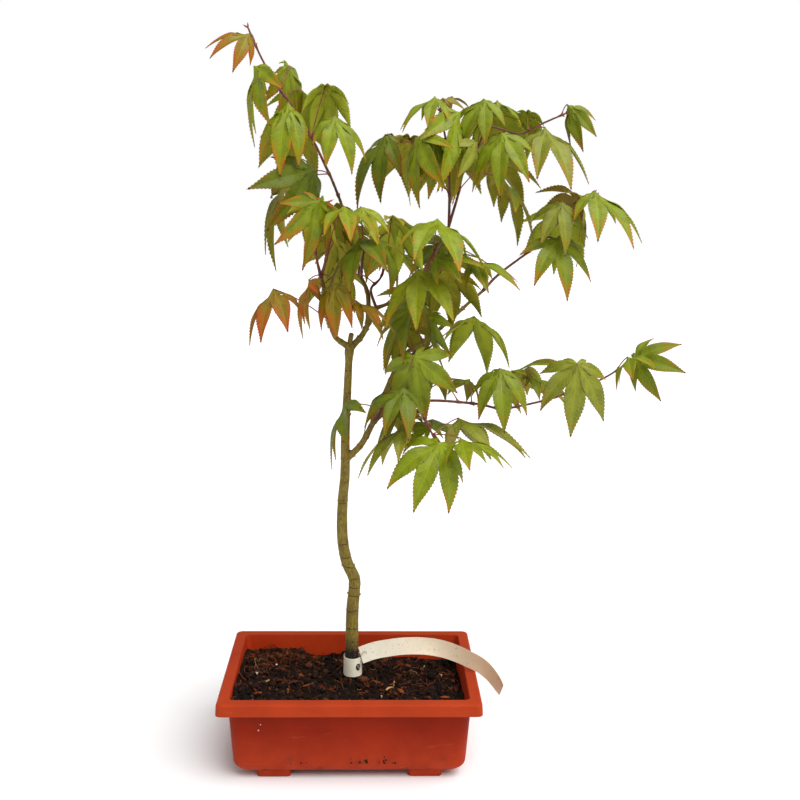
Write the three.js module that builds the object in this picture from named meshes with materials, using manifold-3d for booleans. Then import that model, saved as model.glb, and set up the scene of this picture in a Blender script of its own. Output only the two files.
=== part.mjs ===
// A potted japanese maple: a young tree about half a metre tall with hand-shaped leaves, in a shallow
// rectangular training pot of terracotta-coloured plastic, with a blank tag looped round its trunk.
// Millimetres, +Z up, +X to the tree's right seen from the front, the front towards -Y.
// The pot stands on its four feet at z = 0.
import * as THREE from 'three';
import Module from 'manifold-3d';

const wasm = await Module();
wasm.setup();

// Clear space between pieces that meet, and how far a leaf stays from every limb
const GAP = 0.3;

// Pot: outer length and width at the rim, full height, and its wall
const POT = {
  length: 200, width: 140, height: 67,
  wall: 2, flange: 9.5, flangeThickness: 2.6, lipHeight: 9.7, skirt: 2.2,
  taper: 3.4, footHeight: 5, floor: 2.6, edgeRound: 9, corner: 9, rimCorner: 4, rimRound: 0.8,
};
const FOOT = { length: 26, width: 22, fromMiddle: [58, 43], corner: 3 };

// Soil: its level round the trunk, its lowest level, how it falls to the right and towards the back,
// its unevenness, the radius of the even patch round the trunk, and where its rings lie from the wall to
// the middle
const SOIL = { level: 56, lowest: 38, fallRight: 0.07, fallBack: 0.14, lump: 1.1, pad: 13,
  rings: [1, 0.82, 0.62, 0.42, 0.24, 0.1] };

// Trunk: the points that its middle runs through, from the flat cut at the soil to the dead stub
const TRUNK_PATH = [
  [0.5, 0, 55.2], [0.5, 0.1, 62], [0.6, 0.4, 90], [1, 0.6, 115], [2.3, 0.3, 130], [2.2, -0.4, 141],
  [-2.7, -0.8, 152], [-5.8, -0.4, 164], [-7.4, 0.4, 180], [-7, 1, 204], [-5.2, 0.8, 226], [-5, 0, 257],
  [-3.6, -0.4, 290], [-2, 0, 325], [-0.7, 0, 335],
];
const TRUNK = { rootRadius: 5.5, topRadius: 2.7, flare: 1.3, flareHeight: 5, forkZ: 322, forkSwell: 0.9,
  forkHeight: 5, stubRadius: 1.9 };

// How many sides each round piece has
const SIDES = { trunk: 9, bough: 7, stem: 5, stalk: 3, band: 20 };

// Boughs: the points of each one's middle, then its radius at the root and at the tip
const BOUGHS = {
  bough_low_right: {
    path: [[-5, 0, 237], [7, -4, 250], [15, -8, 266], [17, -9, 270]],
    radii: [2.6, 2.2],
  },
  bough_low_tip: {
    path: [[17, -9, 270], [24, -13, 277], [34, -18, 284]],
    radii: [2, 1.4],
  },
  bough_middle: {
    path: [[17, -9, 270], [25, 2, 289], [37, 12, 316]],
    radii: [2, 1.6],
  },
  bough_right: {
    path: [[37, 12, 316], [66, 24, 335], [92, 34, 357], [102, 38, 365]],
    radii: [1.5, 1.2],
  },
  bough_left: {
    path: [[-2, 0, 325], [-12, -5, 333], [-16, -8, 343]],
    radii: [2.3, 1.8],
  },
  bough_left_upper: {
    path: [[-16, -8, 343], [-19, -10, 354], [-20, -11, 366], [-23, -12, 379]],
    radii: [1.7, 1.4],
  },
  bough_centre: {
    path: [[-1, 0, 325], [7, 5, 333], [12, 8, 342]],
    radii: [2.4, 2],
  },
  bough_centre_rear: {
    path: [[12, 8, 342], [12, 14, 360], [10, 16, 369], [6, 18, 377]],
    radii: [2, 1.5],
  },
  bough_centre_right: {
    path: [[12, 8, 342], [18, 9, 354]],
    radii: [1.5, 1.3],
  },
  bough_top_left: {
    path: [[6, 18, 377], [0, 26, 402], [-9, 30, 431], [-17, 32, 451]],
    radii: [1.3, 1],
  },
  bough_high: {
    path: [[18, 9, 354], [30, 16, 358], [44, 22, 365]],
    radii: [1.3, 1.2],
  },
  bough_top_middle: {
    path: [[44, 22, 365], [60, 36, 388], [75, 48, 415]],
    radii: [1.3, 1.2],
  },
};

// Tag: a band round the foot of the trunk and a pointed strip that arches over the rim on the right
const TAG = {
  width: 15.4, thickness: 0.6, slant: 4.5, centre: [1.35, -0.2], bandRadius: 7.7, bandBottom: 60,
  path: [[7.8, -3.4, 76.8], [17, -4, 80.5], [25.5, -5, 83], [43, -7, 86.3], [62, -9, 86.8], [78, -11, 84],
    [93, -13, 78.2], [104, -14.5, 72.5], [113, -16, 63.6], [120, -17, 53.6]],
};

// Leaf: each lobe's angle from the middle one, its share of that one's length, and the stations along it as
// [share of the lobe's length, share of its full width]
const LONG = [[0.42, 1], [0.76, 0.5]];
const SHORT = [[0.5, 0.9]];
const LOBES = [
  [-130, 0.27, []], [-88, 0.62, SHORT], [-44, 0.9, LONG], [0, 1, LONG], [44, 0.9, LONG], [88, 0.62, SHORT],
  [130, 0.27, []],
];
// Degrees: how far a lobe bends down and how steep it may get, its fold along the rib, and its sway.
// Millimetres: the thickness. Shares of the lobe or the leaf: the rest.
const LEAF = {
  hang: 15, steepest: 88, fold: 14, halfWidth: 0.15, thickness: 0.9, notch: 0.17, notchMost: 0.35,
  heel: 0.06, sway: 8, stretch: 0.12, stalkArch: 0.12,
};
// Places along a leaf's stalk and its radius at each, and a stem's radius at its root and its tip
const STALK_PLACES = [0, 0.35, 0.7, 1];
const STALK_RADII = [0.6, 0.55, 0.5, 0.3];
const STEM_RADII = [1.1, 0.7];

// Shoots: the points of each one's stem, which starts at its bough's tip, and its leaves
const SHOOTS = {
  top_left: {
    path: [[-17, 32, 451], [-32, 33, 481], [-48, 34, 506], [-56, 34, 516], [-69, 34, 538], [-79, 34, 560]],
    leaves: [
      [0.1, 240, 20, 5, 10, 45, -70, 60, 35],
      [0.1, 165, 40, -15, -20, 75, -25, 70, 5],
      [1.0, 305, 35, 25, 5, 25, 10, 46, 40],
      [1.0, 55, 44, 65, 15, 45, -10, 47, 45],
      [1.6, 250, 20, 25, 5, 10, -5, 57, 55],
      [2.9, 70, 26, 50, -50, 40, 55, 56, 45],
      [2.9, 200, 27, 40, 0, 50, 5, 57, 40],
      [4.4, 270, 44, 5, -35, -10, -35, 38, 45],
      [1.2, 110, 35, 10, -5, 40, 10, 51, 30],
      [2.4, 75, 42, 10, 5, 30, 15, 55, 35],
    ],
  },
  left: {
    path: [[-23, -12, 379], [-26, -18, 393], [-28, -24, 407], [-32, -28, 420]],
    leaves: [
      [2.8, 305, 21, 50, -45, 80, -55, 50, 25],
      [0.1, 250, 22, -5, -60, 45, 20, 44, 35],
      [1.4, 100, 45, 45, -5, 85, -10, 41, 30],
    ],
  },
  left_inner: {
    path: [[-23, -12, 379], [-20, -4, 390], [-17, 4, 405]],
    leaves: [
      [1.9, 290, 43, 40, -10, -10, 0, 44, 35],
      [1.1, 70, 26, 35, 25, 40, 30, 39, 35],
      [0.2, 295, 21, -10, -35, 25, 5, 44, 55],
      [1.4, 80, 42, 55, 5, 55, 0, 51, 35],
    ],
  },
  far_left: {
    path: [[-16, -8, 343], [-16, -12, 346]],
    leaves: [
      [0.9, 185, 49, 30, 55, 0, 20, 50, 45],
      [0.9, 345, 26, 40, 15, -15, -25, 39, 50],
    ],
  },
  centre: {
    path: [[6, 18, 377], [7, 8, 386], [8, 0, 402]],
    leaves: [
      [1.4, 255, 18, 60, -10, 0, 25, 61, 35],
      [1.9, 260, 32, 70, 30, 15, 15, 35, 35],
      [0.5, 95, 53, 40, 20, 30, 20, 53, 35],
      [1.6, 50, 45, 25, 25, 80, -10, 47, 35],
    ],
  },
  centre_right: {
    path: [[18, 9, 354], [14, 12, 368], [21, 18, 376], [27, 22, 391]],
    leaves: [
      [2.8, 305, 35, 80, 35, -5, -35, 34, 35],
      [2.2, 285, 28, 65, 20, 25, -30, 49, 35],
      [2.8, 80, 37, 10, -15, -15, 5, 47, 35],
      [1.5, 125, 52, 10, -5, 35, 5, 52, 30],
    ],
  },
  middle: {
    path: [[44, 22, 365], [49, 4, 373], [55, -10, 385], [60, -20, 399]],
    leaves: [
      [1.2, 265, 23, 30, -5, 5, 10, 57, 40],
      [1.8, 285, 27, 30, 40, -30, 25, 41, 35],
      [1.8, 40, 26, 0, 35, 45, -10, 48, 35],
      [2.8, 305, 27, 80, -10, -5, -10, 63, 35],
      [0.4, 70, 24, -10, 15, 45, 35, 62, 35],
    ],
  },
  middle_low: {
    path: [[37, 12, 316], [55, 0, 323], [64, -6, 331]],
    leaves: [
      [2.0, 355, 34, 35, 65, 20, 0, 55, 35],
      [1.0, 185, 34, 70, 5, 55, -10, 52, 5],
      [2.0, 215, 22, 65, -20, 75, 5, 43, 40],
      [0.6, 115, 32, 40, 5, 60, 0, 50, 35],
    ],
  },
  right_upper: {
    path: [[102, 38, 365], [116, 42, 379], [144, 48, 400], [167, 50, 424], [190, 52, 441]],
    leaves: [
      [0.1, 255, 64, 25, 60, -20, 10, 44, 40],
      [1.8, 305, 34, 20, -15, 40, 0, 50, 20],
      [2.2, 295, 40, 50, -15, 25, -5, 46, 35],
      [3.7, 85, 18, 10, -20, 25, 50, 65, 40],
      [3.8, 270, 23, 15, 40, 5, 0, 59, 35],
      [1.0, 160, 52, 25, 40, 50, -40, 57, 35],
      [2.4, 55, 27, 35, 20, 45, 15, 53, 25],
    ],
  },
  top_middle: {
    path: [[75, 48, 415], [75, 48, 439], [74, 47, 461], [71, 45, 481], [66, 42, 502]],
    leaves: [
      [2.0, 230, 48, 25, 0, 50, 25, 56, 35],
      [2.0, 170, 56, 25, 15, 30, -25, 61, 35],
      [2.9, 250, 30, 5, 35, 40, -5, 45, 55],
      [2.9, 295, 31, 45, 40, 55, -5, 72, 40],
      [3.8, 245, 20, 45, -35, 0, 0, 43, 35],
      [3.8, 80, 17, 60, 5, -40, -20, 35, 45],
      [1.0, 135, 62, 45, -15, 70, 20, 50, 45],
      [2.2, 85, 53, 20, -10, 40, 0, 57, 30],
    ],
  },
  top_right: {
    path: [[75, 48, 415], [82, 52, 439], [86, 54, 457], [96, 54, 474], [106, 54, 491], [130, 58, 487],
      [150, 60, 496], [166, 62, 503]],
    leaves: [
      [2.0, 350, 33, -10, -15, 20, -30, 59, 35],
      [2.0, 285, 37, 35, 20, 55, -30, 40, 35],
      [3.8, 225, 24, 80, -5, 20, -10, 46, 35],
      [3.8, 60, 31, 50, -10, 0, 0, 48, 35],
      [3.0, 290, 44, 15, -40, 35, 5, 48, 35],
      [5.3, 85, 25, 40, -25, 50, 0, 39, 35],
      [5.3, 295, 24, 5, 5, 5, 0, 61, 40],
      [6.8, 270, 25, 15, -20, 35, 35, 40, 60],
      [1.2, 35, 45, 35, -5, 25, -25, 51, 25],
      [3.0, 65, 34, 60, -5, 30, -30, 55, 35],
    ],
  },
  low_right: {
    path: [[34, -18, 284], [59, -14, 287], [94, -10, 284], [113, -8, 280], [130, -6, 282],
      [156, -2, 288], [191, 2, 301], [215, 4, 316]],
    leaves: [
      [0.1, 300, 42, 65, 20, 75, 60, 55, 35],
      [1.9, 95, 21, 50, 20, -5, 25, 34, 30],
      [2.9, 265, 35, 70, 10, 25, 5, 48, 40],
      [2.9, 60, 36, 45, 15, -5, -50, 61, 35],
      [3.8, 65, 39, 30, -55, -5, -5, 47, 35],
      [5.0, 290, 43, 45, -30, 60, -10, 55, 35],
      [6.8, 280, 15, 25, 25, -5, 70, 42, 30],
      [6.5, 280, 23, 35, -35, -20, 35, 35, 40],
      [0.8, 125, 42, 10, 15, 20, -10, 51, 35],
      [1.6, 120, 49, 30, -30, 25, 5, 42, 35],
    ],
  },
  low: {
    path: [[34, -18, 284], [50, -26, 281], [57, -32, 271], [61, -34, 264]],
    leaves: [
      [0.4, 260, 24, 50, -15, 5, -10, 45, 40],
      [1.4, 205, 18, -15, -35, 10, 5, 55, 35],
      [2.9, 280, 22, 0, -35, 30, -25, 57, 35],
      [2.9, 40, 28, 20, -15, -10, -15, 71, 35],
      [2.9, 315, 27, 5, 0, -25, -10, 48, 35],
      [1.8, 80, 30, -15, 30, -25, -10, 53, 35],
      [0.9, 120, 27, -10, 15, 20, -15, 49, 35],
    ],
  },
  by_trunk: {
    path: [[17, -9, 270], [21, -16, 278], [22, -20, 282]],
    leaves: [
      [1.9, 200, 30, 10, 20, 40, 35, 51, 25],
    ],
  },
};

const rad = THREE.MathUtils.degToRad;
const vec = (x, y, z) => new THREE.Vector3(x, y, z);
const UP = vec(0, 0, 1);

// A repeatable stream of numbers from 0 to 1
function seeded(seed) {
  let state = (seed * 9973) % 2147483647;
  return () => {
    state = (state * 16807) % 2147483647;
    return state / 2147483647;
  };
}

// Solid bodies

function solid(points, faces) {
  return new wasm.Manifold(new wasm.Mesh({
    numProp: 3,
    vertProperties: new Float32Array(points.flatMap((p) => [p.x, p.y, p.z])),
    triVerts: new Uint32Array(faces.flat()),
  }));
}

// Skins rings of equally many points, each seen anticlockwise from the next. The two ends get a face each,
// or, on a hoop, the last ring is joined to the first.
function loft(rings, hoop = false) {
  const n = rings[0].length;
  const faces = [];
  for (let k = 0; k + 1 < rings.length + (hoop ? 1 : 0); k++) {
    const here = k * n;
    const next = ((k + 1) % rings.length) * n;
    for (let i = 0; i < n; i++) {
      const j = (i + 1) % n;
      faces.push([here + i, here + j, next + j], [here + i, next + j, next + i]);
    }
  }
  const last = (rings.length - 1) * n;
  for (let i = 1; i + 1 < n && !hoop; i++) {
    faces.push([0, i + 1, i], [last, last + i, last + i + 1]);
  }
  return solid(rings.flat(), faces);
}

// A round limb through the points, with a radius at each of them
function tube(points, radii, sides) {
  const rings = [];
  let across = null;
  points.forEach((point, k) => {
    const ahead = points[Math.min(k + 1, points.length - 1)];
    const behind = points[Math.max(k - 1, 0)];
    const along = ahead.clone().sub(behind).normalize();
    if (!across) across = Math.abs(along.z) > 0.8 ? vec(1, 0, 0) : vec(0, 0, 1);
    across = across.clone().addScaledVector(along, -across.dot(along)).normalize();
    const side = along.clone().cross(across);
    rings.push(Array.from({ length: sides }, (_, i) => {
      const turn = (2 * Math.PI * i) / sides;
      return point.clone().addScaledVector(across, radii[k] * Math.cos(turn))
        .addScaledVector(side, radii[k] * Math.sin(turn));
    }));
  });
  return loft(rings);
}

function smooth(path) {
  return new THREE.CatmullRomCurve3(path.map((p) => vec(...p)), false, 'catmullrom', 0.5);
}

// A rectangle with round corners at height z, anticlockwise from above
function roundedRing(halfX, halfY, corner, z) {
  const steps = 3;
  const ring = [];
  const signs = [[1, 1], [-1, 1], [-1, -1], [1, -1]];
  signs.forEach(([sx, sy], quarter) => {
    for (let k = 0; k <= steps; k++) {
      const turn = (Math.PI / 2) * (quarter + k / steps);
      ring.push(vec(
        sx * (halfX - corner) + corner * Math.cos(turn),
        sy * (halfY - corner) + corner * Math.sin(turn),
        z,
      ));
    }
  });
  return ring;
}

// Pot

const potFloor = POT.footHeight + POT.floor;
const innerRound = POT.edgeRound - POT.wall;
const innerCorner = POT.corner - POT.wall;
const wallFoot = potFloor + innerRound;

// How far the inner wall at height z lies inside the rim's outer edge
function wallInset(z) {
  return POT.flange + (POT.taper * (POT.height - z)) / (POT.height - wallFoot);
}

function potRing(inset, z, corner) {
  return roundedRing(POT.length / 2 - inset, POT.width / 2 - inset, corner, z);
}

function makePot() {
  const rings = [];
  const ring = (inset, z, corner) => rings.push(potRing(inset, z, corner));
  const { edgeRound, height, corner } = POT;
  const topInset = POT.flange - POT.wall;
  const bottomInset = topInset + POT.taper;
  for (const turn of [0, 30, 60, 90]) {
    const inset = bottomInset + edgeRound * (1 - Math.sin(rad(turn)));
    ring(inset, POT.footHeight + edgeRound * (1 - Math.cos(rad(turn))), corner);
  }
  ring(topInset, height - POT.flangeThickness, corner);
  ring(POT.skirt, height - POT.flangeThickness, POT.rimCorner - 1);
  ring(POT.skirt, height - POT.lipHeight, POT.rimCorner - 1);
  ring(0, height - POT.lipHeight, POT.rimCorner);
  ring(POT.rimRound, height - POT.rimRound, POT.rimCorner);
  ring(2 * POT.rimRound, height, POT.rimCorner);
  const middleRound = innerRound * (1 - Math.sin(rad(45)));
  ring(wallInset(height), height, innerCorner);
  ring(wallInset(wallFoot), wallFoot, innerCorner);
  ring(wallInset(wallFoot) + middleRound, potFloor + middleRound, innerCorner);
  ring(wallInset(wallFoot) + innerRound, potFloor, innerCorner);
  let pot = loft(rings);
  const [footX, footY] = FOOT.fromMiddle;
  for (const [sx, sy] of [[1, 1], [-1, 1], [-1, -1], [1, -1]]) {
    const shift = vec(sx * footX, sy * footY, 0);
    const footRing = (z) => roundedRing(FOOT.length / 2, FOOT.width / 2, FOOT.corner, z)
      .map((p) => p.add(shift));
    pot = pot.add(loft([footRing(0), footRing(potFloor - POT.floor / 2)]));
  }
  return pot;
}

// Soil

function soilHeight(x, y) {
  const lumps = SOIL.lump * (Math.sin(x / 9 + 1) * Math.cos(y / 8) + 0.6 * Math.sin(x / 5 + y / 6));
  const far = Math.min(1, Math.max(0, Math.hypot(x, y) / SOIL.pad - 1));
  return SOIL.level + far * (lumps - SOIL.fallRight * x - SOIL.fallBack * Math.max(0, y));
}

function makeSoil() {
  const rings = [
    potRing(wallInset(wallFoot) + GAP + innerRound, potFloor + GAP, innerCorner),
    potRing(wallInset(wallFoot) + GAP, wallFoot + GAP, innerCorner),
  ];
  const edge = potRing(wallInset(SOIL.lowest) + GAP, 0, innerCorner);
  for (const share of SOIL.rings) {
    rings.push(edge.map((p) => vec(p.x * share, p.y * share, soilHeight(p.x * share, p.y * share))));
  }
  return loft(rings);
}

// Tag

function makeTag() {
  const circle = (radius, z) => Array.from({ length: SIDES.band }, (_, i) => {
    const turn = (2 * Math.PI * i) / SIDES.band;
    return vec(TAG.centre[0] + radius * Math.cos(turn), TAG.centre[1] + radius * Math.sin(turn), z);
  });
  const low = TAG.bandBottom;
  const high = TAG.bandBottom + TAG.width;
  const inner = TAG.bandRadius - TAG.thickness;
  const band = loft([circle(TAG.bandRadius, low), circle(TAG.bandRadius, high), circle(inner, high),
    circle(inner, low)], true);
  const middle = smooth(TAG.path);
  const steps = 2 * (TAG.path.length - 1);
  const rings = [];
  for (let k = 0; k <= steps; k++) {
    const along = middle.getTangent(k / steps);
    const face = along.clone().cross(UP).normalize();
    const across = face.clone().cross(along).multiplyScalar(TAG.width / 2);
    // The end is cut on the slant, so its lower corner reaches furthest
    if (k === steps) across.addScaledVector(along, -TAG.slant);
    face.multiplyScalar(TAG.thickness / 2);
    rings.push([[-1, 1], [-1, -1], [1, -1], [1, 1]].map(([w, h]) => (
      middle.getPoint(k / steps).addScaledVector(across, w).addScaledVector(face, h))));
  }
  return band.add(loft(rings));
}

// Limbs. Each one that grows from another is cut clear of it.

function trunkRadius(z) {
  const foot = TRUNK_PATH[0][2];
  const share = (z - foot) / (TRUNK.forkZ - foot);
  if (z > TRUNK.forkZ + TRUNK.forkHeight) return TRUNK.stubRadius;
  return TRUNK.rootRadius + (TRUNK.topRadius - TRUNK.rootRadius) * share
    + TRUNK.flare * Math.exp((foot - z) / TRUNK.flareHeight)
    + TRUNK.forkSwell * Math.exp(-(((z - TRUNK.forkZ) / TRUNK.forkHeight) ** 2));
}

function makeTrunk(extra) {
  const middle = smooth(TRUNK_PATH);
  const steps = 2 * (TRUNK_PATH.length - 1);
  const points = Array.from({ length: steps + 1 }, (_, k) => middle.getPoint(k / steps));
  points[0].z -= extra;
  points[steps].z += extra;
  return tube(points, points.map((p) => trunkRadius(p.z) + extra), SIDES.trunk);
}

function makeLimb(limb, extra, sides) {
  const middle = smooth(limb.path);
  const steps = 2 * (limb.path.length - 1);
  const points = Array.from({ length: steps + 1 }, (_, k) => middle.getPoint(k / steps));
  points[steps].addScaledVector(middle.getTangent(1), extra);
  const [root, tip] = limb.radii;
  return tube(points, points.map((_, k) => root + ((tip - root) * k) / steps + extra), sides);
}

// Leaves. A leaf is [place, heading, reach, rise, turn, slope, roll, size, droop]. Its stalk leaves the
// stem at that place, where 1.5 is halfway from the stem's point 1 to its point 2, with that heading,
// length and rise. Its blade turns from the stalk's heading, slopes down and rolls, its middle lobe has
// that length, and its lobes leave the stalk's end on a cone that droops that far under the blade. Angles
// are in degrees, and heading 0 is towards +X.

function leafFrame(heading, slope, roll) {
  const forward = vec(Math.cos(heading), Math.sin(heading), 0).multiplyScalar(Math.cos(slope));
  forward.z = -Math.sin(slope);
  const level = vec(-Math.sin(heading), Math.cos(heading), 0);
  const lift = forward.clone().cross(level);
  return {
    forward,
    side: level.clone().multiplyScalar(Math.cos(roll)).addScaledVector(lift, Math.sin(roll)),
    up: lift.clone().multiplyScalar(Math.cos(roll)).addScaledVector(level, -Math.sin(roll)),
  };
}

// A lobe leaves the stalk's end on a cone under the blade and bends down along its length. Gives the place,
// the direction across the lobe and its upper side at a share t of its length.
function lobeCurve(apex, frame, droop, angle, length) {
  const start = frame.forward.clone().multiplyScalar(Math.cos(angle) * Math.cos(droop))
    .addScaledVector(frame.side, Math.sin(angle) * Math.cos(droop))
    .addScaledVector(frame.up, -Math.sin(droop));
  const across = frame.side.clone().multiplyScalar(Math.cos(angle))
    .addScaledVector(frame.forward, -Math.sin(angle));
  const dip = Math.asin(THREE.MathUtils.clamp(start.z, -1, 1));
  const heading = Math.atan2(start.y, start.x);
  const room = dip + rad(LEAF.steepest);
  const hang = Math.abs(room) < 0.001 ? 0.001 : Math.min(rad(LEAF.hang), room);
  const level = vec(-Math.sin(heading), Math.cos(heading), 0);
  const outward = (run, rise) => vec(run * Math.cos(heading), run * Math.sin(heading), rise);
  const normalAt = (tilt) => outward(-Math.sin(tilt), Math.cos(tilt));
  const cosine = across.dot(level);
  const sine = across.dot(normalAt(dip));
  return (t) => {
    const tilt = dip - hang * t;
    const run = ((Math.sin(dip) - Math.sin(tilt)) / hang) * length;
    const rise = ((Math.cos(tilt) - Math.cos(dip)) / hang) * length;
    const along = outward(Math.cos(tilt), Math.sin(tilt));
    const wide = level.clone().multiplyScalar(cosine).addScaledVector(normalAt(tilt), sine);
    return { at: apex.clone().add(outward(run, rise)), across: wide, up: along.cross(wide) };
  };
}

function makeBlade(apex, frame, size, droop, random) {
  const points = [];
  const faces = [];
  const point = (p) => points.push(p) - 1;
  const face = (top, bottom) => {
    faces.push(top, [bottom[0], bottom[2], bottom[1]]);
  };
  const half = LEAF.thickness / 2;
  const pair = (at, up) => [half, -half].map((lift) => point(at.clone().addScaledVector(up, lift)));
  const heart = pair(apex, frame.up);
  const lobes = LOBES.map(([angle, share]) => {
    const sway = rad(LEAF.sway * (random() - 0.5));
    const stretch = 1 + LEAF.stretch * (random() - 0.5);
    const length = size * share * stretch;
    return { length, curve: lobeCurve(apex, frame, rad(droop), rad(angle) + sway, length) };
  });
  // The notch between two lobes lies between points the same way out on both
  const notches = lobes.map((lobe, i) => {
    const next = lobes[(i + 1) % lobes.length];
    const shorter = Math.min(lobe.length, next.length);
    const reach = i + 1 < lobes.length ? Math.min(LEAF.notch * size, LEAF.notchMost * shorter)
      : LEAF.heel * size;
    const p = lobe.curve(reach / lobe.length).at.add(next.curve(reach / next.length).at);
    return point(p.multiplyScalar(0.5));
  });
  lobes.forEach((lobe, i) => {
    let right = notches[(i + lobes.length - 1) % lobes.length];
    let left = notches[i];
    let middle = heart;
    for (const [t, width] of LOBES[i][2]) {
      const { at, across, up } = lobe.curve(t);
      const reach = lobe.length * LEAF.halfWidth * width;
      const raise = up.clone().multiplyScalar(reach * Math.sin(rad(LEAF.fold)));
      const spread = across.clone().multiplyScalar(reach * Math.cos(rad(LEAF.fold)));
      const nextRight = point(at.clone().sub(spread).add(raise));
      const nextLeft = point(at.clone().add(spread).add(raise));
      const next = pair(at, up);
      face([middle[0], right, nextRight], [middle[1], right, nextRight]);
      face([middle[0], nextRight, next[0]], [middle[1], nextRight, next[1]]);
      face([middle[0], next[0], nextLeft], [middle[1], next[1], nextLeft]);
      face([middle[0], nextLeft, left], [middle[1], nextLeft, left]);
      [right, left, middle] = [nextRight, nextLeft, next];
    }
    const tip = point(lobe.curve(1).at);
    face([middle[0], right, tip], [middle[1], right, tip]);
    face([middle[0], tip, left], [middle[1], tip, left]);
  });
  return solid(points, faces);
}

function makeLeaf(stem, leaf, random) {
  const [place, heading, reach, rise, turn, slope, roll, size, droop] = leaf;
  const root = stem.getPoint(place / (stem.points.length - 1));
  const away = vec(
    Math.cos(rad(heading)) * Math.cos(rad(rise)),
    Math.sin(rad(heading)) * Math.cos(rad(rise)),
    Math.sin(rad(rise)),
  );
  const apex = root.clone().addScaledVector(away, reach);
  const frame = leafFrame(rad(heading + turn), rad(slope), rad(roll));
  const bend = root.clone().add(apex).multiplyScalar(0.5).add(vec(0, 0, LEAF.stalkArch * reach));
  const stalk = new THREE.QuadraticBezierCurve3(root, bend, apex);
  const points = STALK_PLACES.map((t) => stalk.getPoint(t));
  return makeBlade(apex, frame, size, droop, random).add(tube(points, STALK_RADII, SIDES.stalk));
}

// A body without the loose scraps that a cut leaves
function largest(body) {
  return body.decompose().reduce((best, piece) => (piece.volume() > best.volume() ? piece : best));
}

function clearOf(body, limbs) {
  return limbs.reduce((left, limb) => left.subtract(limb.room), body);
}

// A mass of foliage: one stem and the leaves along it. The stem and the first stalks are cut clear of the
// limbs that meet at its root, and a leaf that would touch another limb or mass is left out.
function makeMass(shoot, seed, limbs, masses) {
  const random = seeded(seed);
  const stem = smooth(shoot.path);
  const root = String(shoot.path[0]);
  const meeting = limbs.filter((limb) => limb.ends.includes(root));
  const apart = limbs.filter((limb) => !meeting.includes(limb)).map((limb) => limb.room);
  let mass = clearOf(makeLimb({ path: shoot.path, radii: STEM_RADII }, 0, SIDES.stem), meeting);
  for (const leaf of shoot.leaves) {
    const grown = largest(clearOf(makeLeaf(stem, leaf, random), meeting));
    if ([...apart, ...masses].every((other) => grown.intersect(other).isEmpty())) mass = mass.add(grown);
  }
  return largest(mass);
}

// Assembly

function finish(color, roughness) {
  return new THREE.MeshStandardMaterial({ color, roughness, metalness: 0 });
}

const finishes = {
  pot: finish('#b8401f', 0.55),
  soil: finish('#3b2a1e', 0.95),
  tag: finish('#ece6dc', 0.5),
  bark: finish('#6e6a3f', 0.8),
  leaf: finish('#7f9a3c', 0.6),
};

const plant = new THREE.Group();

function place(name, body, material) {
  const { vertProperties, triVerts } = body.getMesh();
  const geometry = new THREE.BufferGeometry();
  geometry.setAttribute('position', new THREE.BufferAttribute(vertProperties, 3));
  geometry.setIndex(new THREE.BufferAttribute(triVerts, 1));
  const mesh = new THREE.Mesh(geometry, material);
  mesh.name = name;
  plant.add(mesh);
}

// What each limb keeps to itself, with the gap round it, and the points at its two ends
function keep(limbs, path, room) {
  limbs.push({ ends: [String(path[0]), String(path[path.length - 1])], room });
}

const limbs = [];
keep(limbs, TRUNK_PATH, makeTrunk(GAP));
place('pot', makePot(), finishes.pot);
place('soil', clearOf(makeSoil(), limbs), finishes.soil);
place('tag', makeTag(), finishes.tag);
place('trunk', makeTrunk(0), finishes.bark);

for (const [name, bough] of Object.entries(BOUGHS)) {
  place(name, largest(clearOf(makeLimb(bough, 0, SIDES.bough), limbs)), finishes.bark);
  keep(limbs, bough.path, makeLimb(bough, GAP, SIDES.bough));
}

const masses = [];
Object.entries(SHOOTS).forEach(([name, shoot], k) => {
  const mass = makeMass(shoot, k + 1, limbs, masses);
  place(`foliage_${name}`, mass, finishes.leaf);
  keep(limbs, shoot.path, makeLimb({ path: shoot.path, radii: STEM_RADII }, GAP, SIDES.stem));
  masses.push(mass);
});

// The origin is the middle of the whole part's box, at the feet's underside
const box = new THREE.Box3().setFromObject(plant);
plant.position.set(-(box.min.x + box.max.x) / 2, -(box.min.y + box.max.y) / 2, -box.min.z);

export default plant;
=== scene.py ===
# The looks of the potted japanese maple: its leaves, twigs, bark, pot, soil and tag, modelled finely in the
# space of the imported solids. Lengths are millimetres from the pot's middle at its feet's underside, as in
# the source, until a piece is made, which turns them into metres in the shared frame.
from math import asin, atan2, ceil, cos, exp, hypot, pi, radians, sin

import bpy
import numpy as np
from mathutils import Matrix, Vector, noise


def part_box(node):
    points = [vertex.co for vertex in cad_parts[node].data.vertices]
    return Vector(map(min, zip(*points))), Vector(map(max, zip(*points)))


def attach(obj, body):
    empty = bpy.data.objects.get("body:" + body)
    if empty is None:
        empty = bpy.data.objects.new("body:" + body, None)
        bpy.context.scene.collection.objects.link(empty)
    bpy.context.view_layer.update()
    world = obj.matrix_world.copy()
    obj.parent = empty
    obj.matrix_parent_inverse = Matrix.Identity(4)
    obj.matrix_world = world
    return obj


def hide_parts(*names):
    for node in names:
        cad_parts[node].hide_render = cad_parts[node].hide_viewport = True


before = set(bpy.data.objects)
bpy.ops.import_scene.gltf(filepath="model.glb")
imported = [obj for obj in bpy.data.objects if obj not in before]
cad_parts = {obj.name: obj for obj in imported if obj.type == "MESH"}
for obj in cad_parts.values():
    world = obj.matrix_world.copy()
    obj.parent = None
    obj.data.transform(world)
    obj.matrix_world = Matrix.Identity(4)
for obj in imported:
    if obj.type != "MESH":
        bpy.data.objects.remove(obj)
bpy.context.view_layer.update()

MM = 0.001
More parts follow.
